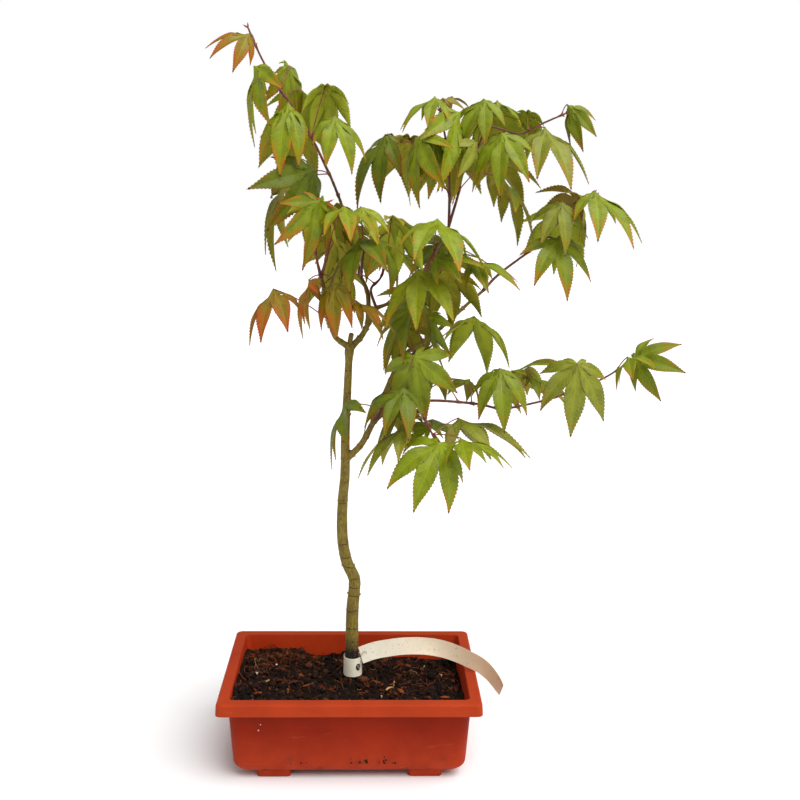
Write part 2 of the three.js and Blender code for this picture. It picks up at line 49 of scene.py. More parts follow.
# The gap between the soil and the pot
GAP = 0.3
UP = np.array([0.0, 0.0, 1.0])
# The strength of the light from all round
AMBIENT = 0.44
# The camera: its place, its pitch, yaw and roll in degrees, its focal length and its picture's width in
# pixels, and its sensor's width
CAMERA = {"place": (13, -826, 448), "turns": (11.19, 1.65, -0.7), "focal": 1098, "width": 800, "sensor": 36}

# The pot, its feet and the soil, as in the source
POT = {
    "length": 200, "width": 140, "height": 67, "wall": 2, "flange": 9.5, "flange_thickness": 2.6,
    "lip_height": 9.7, "skirt": 2.2, "taper": 3.4, "foot_height": 5, "floor": 2.6, "edge_round": 9,
    "corner": 9, "rim_corner": 4,
}
FOOT = {"length": 26, "width": 22, "from_middle": (58, 43), "corner": 3}
POT_FLOOR = POT["foot_height"] + POT["floor"]
INNER_ROUND = POT["edge_round"] - POT["wall"]
INNER_CORNER = POT["corner"] - POT["wall"]
WALL_FOOT = POT_FLOOR + INNER_ROUND
OUTER_WALL_FOOT = POT["foot_height"] + POT["edge_round"]
UNDER_FLANGE = POT["height"] - POT["flange_thickness"]
SOIL = {"level": 56, "lowest": 38, "fall_right": 0.07, "fall_back": 0.14, "lump": 1.1, "pad": 13}

# The trunk and the boughs, as in the source: the points of each one's middle and its radii
TRUNK_PATH = [
    (0.5, 0, 55.2), (0.5, 0.1, 62), (0.6, 0.4, 90), (1, 0.6, 115), (2.3, 0.3, 130), (2.2, -0.4, 141),
    (-2.7, -0.8, 152), (-5.8, -0.4, 164), (-7.4, 0.4, 180), (-7, 1, 204), (-5.2, 0.8, 226), (-5, 0, 257),
    (-3.6, -0.4, 290), (-2, 0, 325), (-0.7, 0, 335),
]
TRUNK = {"root_radius": 5.5, "top_radius": 2.7, "flare": 1.3, "flare_height": 5, "fork_z": 322,
         "fork_swell": 0.9, "fork_height": 5, "stub_radius": 1.9}
BOUGHS = {
    "low_right": ([(-5, 0, 237), (7, -4, 250), (15, -8, 266), (17, -9, 270)], (2.6, 2.2)),
    "low_tip": ([(17, -9, 270), (24, -13, 277), (34, -18, 284)], (2, 1.4)),
    "middle": ([(17, -9, 270), (25, 2, 289), (37, 12, 316)], (2, 1.6)),
    "right": ([(37, 12, 316), (66, 24, 335), (92, 34, 357), (102, 38, 365)], (1.5, 1.2)),
    "left": ([(-2, 0, 325), (-12, -5, 333), (-16, -8, 343)], (2.3, 1.8)),
    "left_upper": ([(-16, -8, 343), (-19, -10, 354), (-20, -11, 366), (-23, -12, 379)], (1.7, 1.4)),
    "centre": ([(-1, 0, 325), (7, 5, 333), (12, 8, 342)], (2.4, 2)),
    "centre_rear": ([(12, 8, 342), (12, 14, 360), (10, 16, 369), (6, 18, 377)], (2, 1.5)),
    "centre_right": ([(12, 8, 342), (18, 9, 354)], (1.5, 1.3)),
    "top_left": ([(6, 18, 377), (0, 26, 402), (-9, 30, 431), (-17, 32, 451)], (1.3, 1)),
    "high": ([(18, 9, 354), (30, 16, 358), (44, 22, 365)], (1.3, 1.2)),
    "top_middle": ([(44, 22, 365), (60, 36, 388), (75, 48, 415)], (1.3, 1.2)),
}
# Heights of the rings of old bud scars round the trunk, and how strongly each stands out
SCARS = [(63, 0.5), (74, 0.4), (89, 0.5), (101, 0.4), (114.6, 0.8), (127.3, 0.9), (135.6, 0.7), (141.5, 0.9),
         (151.5, 1), (160.6, 0.9), (170, 0.7), (186, 0.4), (204, 1), (220, 0.4), (237, 0.7), (254, 0.5),
         (272.5, 1), (291, 0.5), (309, 0.6)]

# The tag: a band round the foot of the trunk and a pointed strip, as in the source. The lean and the twist
# are how far the strip leans back and turns at its end, in degrees.
TAG = {"width": 15.4, "strip": 13.4, "slant": 4.5, "centre": (1.35, -0.2), "radius": 7.7, "low": 60,
       "thick": 0.4, "lean": -26, "twist": 68}
TAG_PATH = [
    (7.8, -3.4, 76.8), (17, -4, 80.5), (25.5, -5, 83), (43, -7, 86.3), (62, -9, 86.8), (78, -11, 84),
    (93, -13, 78.2), (104, -14.5, 72.5), (113, -16, 63.6), (120, -17, 53.6),
]

# A leaf's lobes, as in the source: each one's angle from the middle one in degrees, its share of that one's
# length, and how many teeth each of its sides has
LOBES = [(-130, 0.27, 5), (-88, 0.62, 12), (-44, 0.9, 17), (0, 1, 18), (44, 0.9, 17), (88, 0.62, 12),
         (130, 0.27, 5)]
LEAF = {"hang": 15, "steepest": 88, "fold": 22, "half_width": 0.156, "notch": 0.17, "notch_most": 0.35,
        "heel": 0.06, "sway": 8, "stretch": 0.12, "stalk_arch": 0.12}
# A lobe's half width along its length, as shares
LOBE_OUTLINE = [(0, 0), (0.14, 0.38), (0.22, 0.7), (0.31, 0.92), (0.4, 1), (0.5, 0.97), (0.61, 0.83),
                (0.72, 0.59), (0.82, 0.35), (0.9, 0.18), (0.95, 0.09), (1, 0)]
# The shares of a lobe's half width where its upper skin has points, and which of those its lower skin has
TOP_COLUMNS = (-1, -0.92, -0.66, -0.33, -0.04, 0.04, 0.33, 0.66, 0.92, 1)
UNDER_COLUMNS = (0, 2, 4, 5, 7, 9)
# The rows of points before a lobe's notch, and the rows after it over which its margin eases off the notch
BASE_ROWS = 3
EASE_ROWS = 4
# Half a blade's thickness, and how far its quilting rises and falls
SKIN = 0.15
QUILT = 0.17
# How far a tooth stands out, and how high a lobe bows over the straight way to its tip, as shares of the
# lobe's length
TOOTH = 0.011
CROWN = 0.045

# Shoots, as in the source: the points of each one's stem, then its leaves. A leaf is its place on the stem,
# heading, reach, rise, turn, slope, roll, size and droop as there, then its tone and how young it looks.
SHOOTS = {
    "top_left": ([(-17, 32, 451), (-32, 33, 481), (-48, 34, 506), (-56, 34, 516), (-69, 34, 538),
        (-79, 34, 560)], [
        (0.1, 240, 20, 5, 10, 45, -70, 60, 35, "deep", 0.4),
        (0.1, 165, 40, -15, -20, 75, -25, 70, 5, "green", 0.6),
        (1.0, 305, 35, 25, 5, 25, 10, 46, 40, "fresh", 0.4),
        (1.0, 55, 44, 65, 15, 45, -10, 47, 45, "fresh", 0.5),
        (1.6, 250, 20, 25, 5, 10, -5, 57, 55, "fresh", 0.5),
        (2.9, 70, 26, 50, -50, 40, 55, 56, 45, "fresh", 0.6),
        (2.9, 200, 27, 40, 0, 50, 5, 57, 40, "fresh", 0.5),
        (4.4, 270, 44, 5, -35, -10, -35, 38, 45, "olive", 0.8),
        (1.2, 110, 35, 10, -5, 40, 10, 51, 30, "green", 0.5),
        (2.4, 75, 42, 10, 5, 30, 15, 55, 35, "fresh", 0.5),
    ]),
    "left": ([(-23, -12, 379), (-26, -18, 393), (-28, -24, 407), (-32, -28, 420)], [
        (2.8, 305, 21, 50, -45, 80, -55, 50, 25, "green", 0.6),
        (0.1, 250, 22, -5, -60, 45, 20, 44, 35, "bronze", 0.8),
        (1.4, 100, 45, 45, -5, 85, -10, 41, 30, "green", 0.5),
    ]),
    "left_inner": ([(-23, -12, 379), (-20, -4, 390), (-17, 4, 405)], [
        (1.9, 290, 43, 40, -10, -10, 0, 44, 35, "fresh", 0.5),
        (1.1, 70, 26, 35, 25, 40, 30, 39, 35, "green", 0.5),
        (0.2, 295, 21, -10, -35, 25, 5, 44, 55, "olive", 0.7),
        (1.4, 80, 42, 55, 5, 55, 0, 51, 35, "green", 0.5),
    ]),
    "far_left": ([(-16, -8, 343), (-16, -12, 346)], [
        (0.9, 185, 49, 30, 55, 0, 20, 50, 45, "bronze", 0.7),
        (0.9, 345, 26, 40, 15, -15, -25, 39, 50, "olive", 0.7),
    ]),
    "centre": ([(6, 18, 377), (7, 8, 386), (8, 0, 402)], [
        (1.4, 255, 18, 60, -10, 0, 25, 61, 35, "deep", 0.5),
        (1.9, 260, 32, 70, 30, 15, 15, 35, 35, "lime", 0.4),
        (0.5, 95, 53, 40, 20, 30, 20, 53, 35, "green", 0.5),
        (1.6, 50, 45, 25, 25, 80, -10, 47, 35, "fresh", 0.4),
    ]),
    "centre_right": ([(18, 9, 354), (14, 12, 368), (21, 18, 376), (27, 22, 391)], [
        (2.8, 305, 35, 80, 35, -5, -35, 34, 35, "lime", 0.4),
        (2.2, 285, 28, 65, 20, 25, -30, 49, 35, "green", 0.5),
        (2.8, 80, 37, 10, -15, -15, 5, 47, 35, "green", 0.5),
        (1.5, 125, 52, 10, -5, 35, 5, 52, 30, "green", 0.4),
    ]),
    "middle": ([(44, 22, 365), (49, 4, 373), (55, -10, 385), (60, -20, 399)], [
        (1.2, 265, 23, 30, -5, 5, 10, 57, 40, "lime", 0.3),
        (1.8, 285, 27, 30, 40, -30, 25, 41, 35, "green", 0.4),
        (1.8, 40, 26, 0, 35, 45, -10, 48, 35, "green", 0.4),
        (2.8, 305, 27, 80, -10, -5, -10, 63, 35, "fresh", 0.3),
        (0.4, 70, 24, -10, 15, 45, 35, 62, 35, "green", 0.4),
    ]),
    "middle_low": ([(37, 12, 316), (55, 0, 323), (64, -6, 331)], [
        (2.0, 355, 34, 35, 65, 20, 0, 55, 35, "fresh", 0.2),
        (1.0, 185, 34, 70, 5, 55, -10, 52, 5, "green", 0.4),
        (2.0, 215, 22, 65, -20, 75, 5, 43, 40, "fresh", 0.3),
        (0.6, 115, 32, 40, 5, 60, 0, 50, 35, "green", 0.3),
    ]),
    "right_upper": ([(102, 38, 365), (116, 42, 379), (144, 48, 400), (167, 50, 424), (190, 52, 441)], [
        (0.1, 255, 64, 25, 60, -20, 10, 44, 40, "green", 0.4),
        (1.8, 305, 34, 20, -15, 40, 0, 50, 20, "green", 0.4),
        (2.2, 295, 40, 50, -15, 25, -5, 46, 35, "grey", 0.3),
        (3.7, 85, 18, 10, -20, 25, 50, 65, 40, "olive", 0.4),
        (3.8, 270, 23, 15, 40, 5, 0, 59, 35, "fresh", 0.4),
        (1.0, 160, 52, 25, 40, 50, -40, 57, 35, "green", 0.4),
        (2.4, 55, 27, 35, 20, 45, 15, 53, 25, "fresh", 0.3),
    ]),
    "top_middle": ([(75, 48, 415), (75, 48, 439), (74, 47, 461), (71, 45, 481), (66, 42, 502)], [
        (2.0, 230, 48, 25, 0, 50, 25, 56, 35, "fresh", 0.4),
        (2.0, 170, 56, 25, 15, 30, -25, 61, 35, "deep", 0.5),
        (2.9, 250, 30, 5, 35, 40, -5, 45, 55, "green", 0.4),
        (2.9, 295, 31, 45, 40, 55, -5, 72, 40, "fresh", 0.3),
        (3.8, 245, 20, 45, -35, 0, 0, 43, 35, "fresh", 0.4),
        (3.8, 80, 17, 60, 5, -40, -20, 35, 45, "olive", 0.4),
        (1.0, 135, 62, 45, -15, 70, 20, 50, 45, "green", 0.4),
        (2.2, 85, 53, 20, -10, 40, 0, 57, 30, "green", 0.4),
    ]),
    "top_right": ([(75, 48, 415), (82, 52, 439), (86, 54, 457), (96, 54, 474), (106, 54, 491),
        (130, 58, 487), (150, 60, 496), (166, 62, 503)], [
        (2.0, 350, 33, -10, -15, 20, -30, 59, 35, "green", 0.4),
        (2.0, 285, 37, 35, 20, 55, -30, 40, 35, "grey", 0.3),
        (3.8, 225, 24, 80, -5, 20, -10, 46, 35, "fresh", 0.3),
        (3.8, 60, 31, 50, -10, 0, 0, 48, 35, "fresh", 0.3),
        (3.0, 290, 44, 15, -40, 35, 5, 48, 35, "fresh", 0.3),
        (5.3, 85, 25, 40, -25, 50, 0, 39, 35, "fresh", 0.3),
        (5.3, 295, 24, 5, 5, 5, 0, 61, 40, "grey", 0.4),
        (6.8, 270, 25, 15, -20, 35, 35, 40, 60, "green", 0.4),
        (1.2, 35, 45, 35, -5, 25, -25, 51, 25, "green", 0.4),
        (3.0, 65, 34, 60, -5, 30, -30, 55, 35, "fresh", 0.3),
    ]),
    "low_right": ([(34, -18, 284), (59, -14, 287), (94, -10, 284), (113, -8, 280), (130, -6, 282),
        (156, -2, 288), (191, 2, 301), (215, 4, 316)], [
        (0.1, 300, 42, 65, 20, 75, 60, 55, 35, "fresh", 0.3),
        (1.9, 95, 21, 50, 20, -5, 25, 34, 30, "green", 0.3),
        (2.9, 265, 35, 70, 10, 25, 5, 48, 40, "green", 0.3),
        (2.9, 60, 36, 45, 15, -5, -50, 61, 35, "green", 0.3),
        (3.8, 65, 39, 30, -55, -5, -5, 47, 35, "green", 0.3),
        (5.0, 290, 43, 45, -30, 60, -10, 55, 35, "grey", 0.3),
        (6.8, 280, 15, 25, 25, -5, 70, 42, 30, "green", 0.4),
        (6.5, 280, 23, 35, -35, -20, 35, 35, 40, "fresh", 0.4),
        (0.8, 125, 42, 10, 15, 20, -10, 51, 35, "green", 0.2),
        (1.6, 120, 49, 30, -30, 25, 5, 42, 35, "green", 0.2),
    ]),
    "low": ([(34, -18, 284), (50, -26, 281), (57, -32, 271), (61, -34, 264)], [
        (0.4, 260, 24, 50, -15, 5, -10, 45, 40, "deep", 0.4),
        (1.4, 205, 18, -15, -35, 10, 5, 55, 35, "grey", 0.3),
        (2.9, 280, 22, 0, -35, 30, -25, 57, 35, "fresh", 0.2),
        (2.9, 40, 28, 20, -15, -10, -15, 71, 35, "grey", 0.3),
        (2.9, 315, 27, 5, 0, -25, -10, 48, 35, "fresh", 0.2),
        (1.8, 80, 30, -15, 30, -25, -10, 53, 35, "green", 0.3),
        (0.9, 120, 27, -10, 15, 20, -15, 49, 35, "green", 0.2),
    ]),
    "by_trunk": ([(17, -9, 270), (21, -16, 278), (22, -20, 282)], [
        (1.9, 200, 30, 10, 20, 40, 35, 51, 25, "deep", 0.3),
    ]),
}


# Numbers and lines


def seeded(seed):
    """The source's repeatable stream of numbers from 0 to 1."""
    largest = 2147483647
    state = (seed * 9973) % largest

    def draw():
        nonlocal state
        state = (state * 16807) % largest
        return state / largest
    return draw


def spread(draw, low, high):
    return low + (high - low) * draw()


def pick(draw, kinds, share):
    """One of the kinds, the last of which comes only with that share of the others' chance."""
    return kinds[int(draw() * (len(kinds) - 1 + share))]


def clamped(value):
    return min(1, max(0, value))


def unit(v):
    return v / np.linalg.norm(v)


def compass(turn, z=0.0):
    return np.array([cos(turn), sin(turn), z])


def turns(count):
    return [2 * pi * i / count for i in range(count)]


def arc(start, bend, end, u):
    return start * (1 - u) ** 2 + bend * 2 * u * (1 - u) + end * u * u


def bell(x):
    return exp(-(x ** 2))


def bumpy(p, scale, shift=0.0):
    """Smooth noise from -1 to 1 at a place, whose lumps are about scale millimetres."""
    return noise.noise(Vector((p[0] / scale + shift, p[1] / scale, p[2] / scale)))


class Line:
    """A smooth line through points, bent as in the source. A place counts the points from 0."""

    def __init__(self, points):
        self.points = np.array(points, float)
        self.last = len(points) - 1

    def at(self, place):
        k = min(int(place), self.last - 1)
        share = place - k
        here, after = self.points[k], self.points[k + 1]
        before = self.points[k - 1] if k > 0 else 2 * here - after
        beyond = self.points[k + 2] if k + 2 <= self.last else 2 * after - here
        leave, arrive = (after - before) / 2, (beyond - here) / 2
        square = share * share
        return (here + share * leave + square * (3 * (after - here) - 2 * leave - arrive)
                + square * share * (2 * (here - after) + leave + arrive))

    def run(self, step):
        """Points along the line about step apart."""
        points = [self.at(0)]
        for k in range(self.last):
            pieces = max(2, ceil(np.linalg.norm(self.points[k + 1] - self.points[k]) / step))
            points += [self.at(k + i / pieces) for i in range(1, pieces + 1)]
        return np.array(points)


def distances(points):
    """How far along a line of points each one is."""
    return np.concatenate([[0], np.cumsum(np.linalg.norm(np.diff(points, axis=0), axis=1))])


def way_at(points, k):
    return unit(points[min(k + 1, len(points) - 1)] - points[max(k - 1, 0)])


# Meshes


def placed(name, data):
    thing = bpy.data.objects.new(name, data)
    bpy.context.scene.collection.objects.link(thing)
    return thing


class Piece:
    """Gathers points and faces with their finishes, and makes them one object."""

    def __init__(self):
        self.points = []
        self.count = 0
        self.faces = []
        self.marks = []
        self.finishes = {}

    def add(self, points, faces, finish):
        """Adds a skin in one finish, or with a list of finishes, one for each face."""
        points = np.asarray(points, float).reshape(-1, 3)
        self.points.append(points)
        self.faces += [tuple(self.count + i for i in face) for face in faces]
        self.count += len(points)
        finishes = finish if isinstance(finish, list) else [finish] * len(faces)
        self.marks += [self.finishes.setdefault(one, len(self.finishes)) for one in finishes]

    def loft(self, rings, finish, hoop=False):
        rings = np.array(rings)
        self.add(rings, skin(rings, hoop), finish)

    def weld(self):
        """Joins the points that share a place, and drops the faces that this leaves without an area."""
        points = np.concatenate(self.points)
        _, first, which = np.unique(np.round(points, 4), axis=0, return_index=True, return_inverse=True)
        which = which.reshape(-1).tolist()
        faces, marks = [], []
        for face, mark in zip(self.faces, self.marks):
            corners = [which[i] for i in face]
            kept = [c for k, c in enumerate(corners) if c != corners[k - 1]]
            if len(kept) > 2:
                faces.append(tuple(kept))
                marks.append(mark)
        self.points, self.faces, self.marks = [points[first]], faces, marks

    def mesh(self, name):
        mesh = bpy.data.meshes.new(name)
        mesh.from_pydata((np.concatenate(self.points) * MM + POT_MIDDLE).tolist(), [], self.faces)
        return mesh

    def make(self, name, slot, *nodes, weld=False, sharp=None):
        if weld:
            self.weld()
        mesh = self.mesh(name)
        for finish in self.finishes:
            mesh.materials.append(finish)
        mesh.polygons.foreach_set("material_index", self.marks)
        mesh.polygons.foreach_set("use_smooth", [True] * len(self.faces))
        if sharp:
            mesh.set_sharp_from_angle(angle=radians(sharp))
        mesh.update()
        piece = placed(name, mesh)
        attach(piece, "root")
        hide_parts(*nodes)
        return piece


def skin(rings, hoop=False):
    """The faces between rings of equally many points, and over the two ends of what isn't a hoop."""
    count, n = rings.shape[:2]
    faces = []
    for k in range(count if hoop else count - 1):
        here, there = k * n, ((k + 1) % count) * n
        faces += [(here + i, here + (i + 1) % n, there + (i + 1) % n, there + i) for i in range(n)]
    if not hoop:
        faces += [tuple(reversed(range(n))), tuple(range((count - 1) * n, count * n))]
    return faces


def tube(points, radii, sides, relief=lambda place, k: 0):
    """Rings round a line of points. The relief of a ring point is added to its radius."""
    rings = []
    across = None
    for k, point in enumerate(points):
        along = way_at(points, k)
        if across is None:
            across = compass(0) if abs(along[2]) > 0.8 else UP
        across = unit(across - along * across.dot(along))
        side = np.cross(along, across)
        outs = [across * cos(turn) + side * sin(turn) for turn in turns(sides)]
        rings.append([point + out * (radii[k] + relief(point + out * radii[k], k)) for out in outs])
    return rings


# Where the rings of a dome lie, as shares of a right angle
DOME = (0.35, 0.65, 0.87, 1)


def domed(points, radii, length):
    """A tube's points and radii with its end drawn in to a dome of that length."""
    tip = unit(points[-1] - points[-2])
    bends = [share * pi / 2 for share in DOME]
    more = [points[-1] + tip * length * sin(bend) for bend in bends]
    slim = [radii[-1] * max(0.04, cos(bend)) for bend in bends]
    return np.array([*points, *more]), [*radii, *slim]


# A bud's width along its length, as shares
BUD_SHAPE = [(0, 0.55), (0.12, 0.9), (0.3, 1), (0.5, 0.85), (0.7, 0.55), (0.87, 0.25), (1, 0.03)]


def bud(piece, base, along, length, width, finish):
    """A pointed bud with two scales' ridges."""
    points = [base + along * length * share for share, _ in BUD_SHAPE]
    radii = [width / 2 * wide for _, wide in BUD_SHAPE]
    piece.loft(tube(points, radii, 8, lambda place, k: 0.05 * width * (-1) ** (k % 2)), finish)


# Finishes


def colour(*rgb):
    """A colour given as it looks on a screen, from 0 to 255."""
    shares = [value / 255 for value in rgb]
    return (*(s / 12.92 if s <= 0.04045 else ((s + 0.055) / 1.055) ** 2.4 for s in shares), 1)


class Finish:
    """A material with short calls for the nodes that the finishes use."""

    def __init__(self, name):
        self.material = bpy.data.materials.new(name)
        self.material.use_nodes = True
        self.nodes = self.material.node_tree.nodes
        self.links = self.material.node_tree.links
        self.shader = self.nodes["Principled BSDF"]
        self.place = self.nodes.new("ShaderNodeTexCoord").outputs["Object"]

    def give(self, socket, value):
        if isinstance(value, bpy.types.NodeSocket):
            self.links.new(value, socket)
        elif value is not None:
            socket.default_value = value

    def node(self, kind, *values, out=0, **settings):
        """A new node's output. The values go to its inputs in turn, and None leaves one as it is."""
        node = self.nodes.new("ShaderNode" + kind)
        for setting, value in settings.items():
            setattr(node, setting, value)
        for socket, value in zip(node.inputs, values):
            self.give(socket, value)
        return node.outputs[out]

    def noise(self, size, detail=3, stretch=(1, 1, 1), rough=0.55):
        """Noise from 0 to 1 with lumps of about size millimetres."""
        spot = self.node("Mapping", self.place, None, None, tuple(1 / s for s in stretch))
        return self.node("TexNoise", spot, None, 1 / (size * MM), detail, rough)

    def axis(self, name):
        return self.node("SeparateXYZ", self.place, out=name)

    def scaled(self, value, low, high, new_low=0.0, new_high=1.0):
        return self.node("MapRange", value, low, high, new_low, new_high)

    def patches(self, low, high, *noise):
        """Soft-edged patches, which begin where the noise is low and are full where it is high."""
        return self.scaled(self.noise(*noise), low, high)

    def sum(self, first, second):
        return self.node("Math", first, second, operation="ADD")

    def times(self, first, second):
        return self.node("Math", first, second, operation="MULTIPLY")

    def blend(self, share, first, second):
        """A mix of two colours, each a node's output or a colour as on a screen."""
        both = [v if isinstance(v, bpy.types.NodeSocket) else colour(*v) for v in (first, second)]
        return self.node("Mix", share, *[None] * 5, *both, out=2, data_type="RGBA")

    def over(self, base, rgb, amount, share):
        """The base with a colour laid over it by its share at each place, in that amount at most."""
        return self.blend(self.times(share, amount), base, rgb)

    def rise(self, height, size, under=None):
        """A bump from a height from 0 to 1, whose full rise is size millimetres."""
        return self.node("Bump", 1, size * MM, None, height, under)

    def finish(self, base, roughness, normal=None, specular=0.5):
        names = ("Base Color", "Roughness", "Normal", "Specular IOR Level")
        for name, value in zip(names, (base, roughness, normal, specular)):
            self.give(self.shader.inputs[name], value)
        return self.material


def grained(name, rgb, roughness, grain, rise, specular):
    """A plain colour whose roughness and surface vary finely."""
    f = Finish(name)
    spots = f.noise(grain)
    return f.finish(colour(*rgb), f.scaled(spots, 0.3, 0.7, *roughness), f.rise(spots, rise), specular)


# Leaf colours by tone: the blade, its blush towards the tips, its rim, its tips and its underside. The
# undersides of the green, fresh and lime tones are lighter than their own colour, as painted light shining
# through the leaf.
TONES = {
    "deep": ((99, 112, 12), (132, 100, 16), (146, 76, 22), (92, 40, 20), (128, 112, 32)),
    "green": ((113, 125, 13), (150, 114, 18), (164, 86, 24), (98, 44, 22), (146, 140, 38)),
    "fresh": ((122, 135, 14), (160, 122, 20), (172, 92, 26), (104, 48, 22), (158, 166, 44)),
    "lime": ((134, 142, 17), (164, 132, 24), (174, 104, 28), (108, 52, 24), (162, 168, 52)),
    "olive": ((128, 115, 14), (156, 98, 18), (166, 74, 22), (106, 42, 22), (146, 120, 36)),
    "bronze": ((138, 112, 20), (160, 92, 24), (168, 60, 22), (114, 36, 20), (152, 112, 38)),
    "grey": ((125, 130, 33), (148, 120, 36), (158, 94, 34), (102, 54, 30), (144, 138, 56)),
}
# How light the looks of a blade and of its underside are beside the tone's own colour
BLADE_LOOKS = {"dark": 0.91, "blade": 1, "light": 1.06, "rib": 1.14}
UNDER_LOOKS = {"under": 1, "under_dark": 0.93}
# The steps of a blade's colour from its middle to its oldest margin, each as its share of blush and of rim
RIPENING = {"warm": (0.3, 0), "ochre": (0.65, 0), "blush": (1, 0), "russet": (1, 0.5)}


def leaf_finishes():
    """Each tone's finishes, by the name of the look."""
    finishes = {}
    for tone, (blade, blush, rim, tip, under) in TONES.items():
        blade, blush, rim, under = (np.array(rgb) for rgb in (blade, blush, rim, under))
        looks = {look: (blade * light, 0.48, 0.3) for look, light in BLADE_LOOKS.items()}
        # The undersides, of which the green, fresh and lime ones carry painted light shining through the
        # leaf
        looks |= {look: (under * light, 0.68, 0.12) for look, light in UNDER_LOOKS.items()}
        looks |= {"rim": (rim, 0.56, 0.2), "tip": (tip, 0.6, 0.2)}
        for look, (to_blush, to_rim) in RIPENING.items():
            warm = blade + (blush - blade) * to_blush
            looks[look] = (warm + (rim - warm) * to_rim, 0.56, 0.2)
        finishes[tone] = {
            look: grained(f"leaf_{tone}_{look}", rgb, (rough - 0.08, rough + 0.1), 1.1, 0.1, specular)
            for look, (rgb, rough, specular) in looks.items()
        }
    return finishes


def bark_finish():
    """Olive skin low down that turns red-brown towards the crown, mottled, dark at the soil."""
    f = Finish("bark")
    height, broad, fine = f.axis("Z"), f.noise(9, 4), f.noise(1.3, 4, (1, 1, 2.5))
    olive = f.blend(f.scaled(fine, 0.35, 0.65), (104, 88, 24), (142, 122, 44))
    mottled = f.blend(f.scaled(broad, 0.54, 0.72), olive, (96, 74, 36))
    red = f.blend(f.scaled(broad, 0.38, 0.62), (76, 40, 24), (104, 74, 36))
    wavy = f.sum(height, f.scaled(broad, 0, 1, -0.03, 0.03))
    base = f.blend(f.scaled(wavy, 0.335, 0.4), mottled, red)
    foot = f.sum(height, f.scaled(fine, 0, 1, -0.004, 0.004))
    base = f.blend(f.scaled(foot, 0.09, 0.08), base, (36, 22, 17))
    base = f.over(base, (168, 158, 112), 0.5, f.patches(0.62, 0.7, 0.8, 2))
    return f.finish(base, f.scaled(fine, 0.3, 0.7, 0.5, 0.75), f.rise(f.noise(0.9, 5, (1, 1, 3)), 0.2), 0.3)


def twig_finish(name, dull, bright):
    """A twig's skin, dull above and bright in patches, with pale pores."""
    f = Finish(name)
    base = f.blend(f.patches(0.38, 0.6, 6, 3), dull, bright)
    base = f.over(base, (190, 150, 110), 0.45, f.patches(0.66, 0.72, 0.7, 2))
    grain = f.noise(0.8, 4, (1, 1, 2))
    return f.finish(base, f.scaled(grain, 0.3, 0.7, 0.42, 0.62), f.rise(grain, 0.2))


def pot_finish(name, rim, wall):
    """Terracotta-coloured plastic: a fine matt grain, faint moulding clouds, the wall under the rim darker
    as painted shade, painted light bounced up from the floor low down, and soil low down.
    """
    f = Finish(name)
    height, clouds, grain = f.axis("Z"), f.noise(38, 4), f.noise(0.55, 3)
    low, high = [f.blend(f.scaled(clouds, 0.35, 0.65), *pair) for pair in (wall, rim)]
    # The wall under the rim is coloured darker than the rim, which is painted shade
    base = f.blend(f.scaled(height, 0.054, 0.057), low, high)
    # Painted light bounced up from the floor: the pot lighter and warmer towards its foot
    painted_floor_glow = f.times(f.scaled(height, 0.042, 0.006), f.scaled(f.noise(14, 5), 0.2, 0.6, 0.4))
    base = f.over(base, (182, 64, 32), 0.75, painted_floor_glow)
    base = f.over(base, (120, 38, 16), 0.5, f.patches(0.66, 0.72, 0.9, 2))
    base = f.over(base, (208, 104, 72), 0.22, f.patches(0.63, 0.74, 7, 6, (4, 4, 1), 0.7))
    smudge = f.times(f.scaled(height, 0.03, 0.006), f.patches(0.56, 0.68, 11, 4))
    base = f.over(base, (84, 44, 30), 0.6, smudge)
    return f.finish(base, f.scaled(grain, 0.3, 0.7, 0.5, 0.64), f.rise(grain, 0.12), 0.1)


def soil_finish():
    """Moist dark compost with rusty fibre mixed in."""
    f = Finish("compost")
    clods, fine = f.noise(5, 6, rough=0.65), f.noise(1.1, 4)
    # The compost is darker where its clods' bump dips, which is painted shade in the hollows
    base = f.blend(f.scaled(clods, 0.4, 0.65), (14, 8, 6), (38, 21, 13))
    base = f.blend(f.patches(0.64, 0.72, 2.2, 3), base, (78, 41, 24))
    return f.finish(base, f.scaled(fine, 0.3, 0.7, 0.7, 0.98), f.rise(fine, 0.9, f.rise(clods, 1.4)), 0.15)


def chip_finish(name, dull, bright):
    """A bit of bark or wood: grain along it, scorched patches."""
    f = Finish(name)
    grain = f.noise(0.7, 4, (3, 1, 1))
    base = f.blend(f.patches(0.35, 0.65, 3, 4), dull, bright)
    return f.finish(base, f.scaled(grain, 0.3, 0.7, 0.6, 0.9), f.rise(grain, 0.4), 0.12)


def tag_finish():
    """Thin off-white plastic, lighter near the band as painted light and yellowed towards its end, scuffed
    and specked with soil.
    """
    f = Finish("tag_plastic")
    # Painted light near the band, where light falls on the strip, giving way to the yellowed end
    lit_to_yellowed = f.scaled(f.axis("X"), POT_MIDDLE[0] + 0.01, POT_MIDDLE[0] + 0.105)
    base = f.blend(lit_to_yellowed, (255, 248, 226), (206, 178, 142))
    base = f.blend(f.scaled(f.noise(9, 4), 0.45, 0.8, 0, 0.3), base, (204, 186, 160))
    base = f.over(base, (112, 86, 66), 0.6, f.patches(0.63, 0.71, 1.5, 3))
    scuffs = f.noise(1.2, 5, (6, 1, 1))
    return f.finish(base, f.scaled(scuffs, 0.3, 0.7, 0.32, 0.5), f.rise(scuffs, 0.08))


def floor_finish():
    f = Finish("studio_floor")
    return f.finish(colour(246, 246, 246), f.scaled(f.noise(30), 0, 1, 0.85, 0.95))


# Leaves, each in the place and shape that the source's rule gives it


def leaf_axes(heading, slope, roll):
    forward = compass(heading) * cos(slope) - UP * sin(slope)
    level = np.cross(UP, compass(heading))
    lift = np.cross(forward, level)
    return forward, level * cos(roll) + lift * sin(roll), lift * cos(roll) - level * sin(roll)


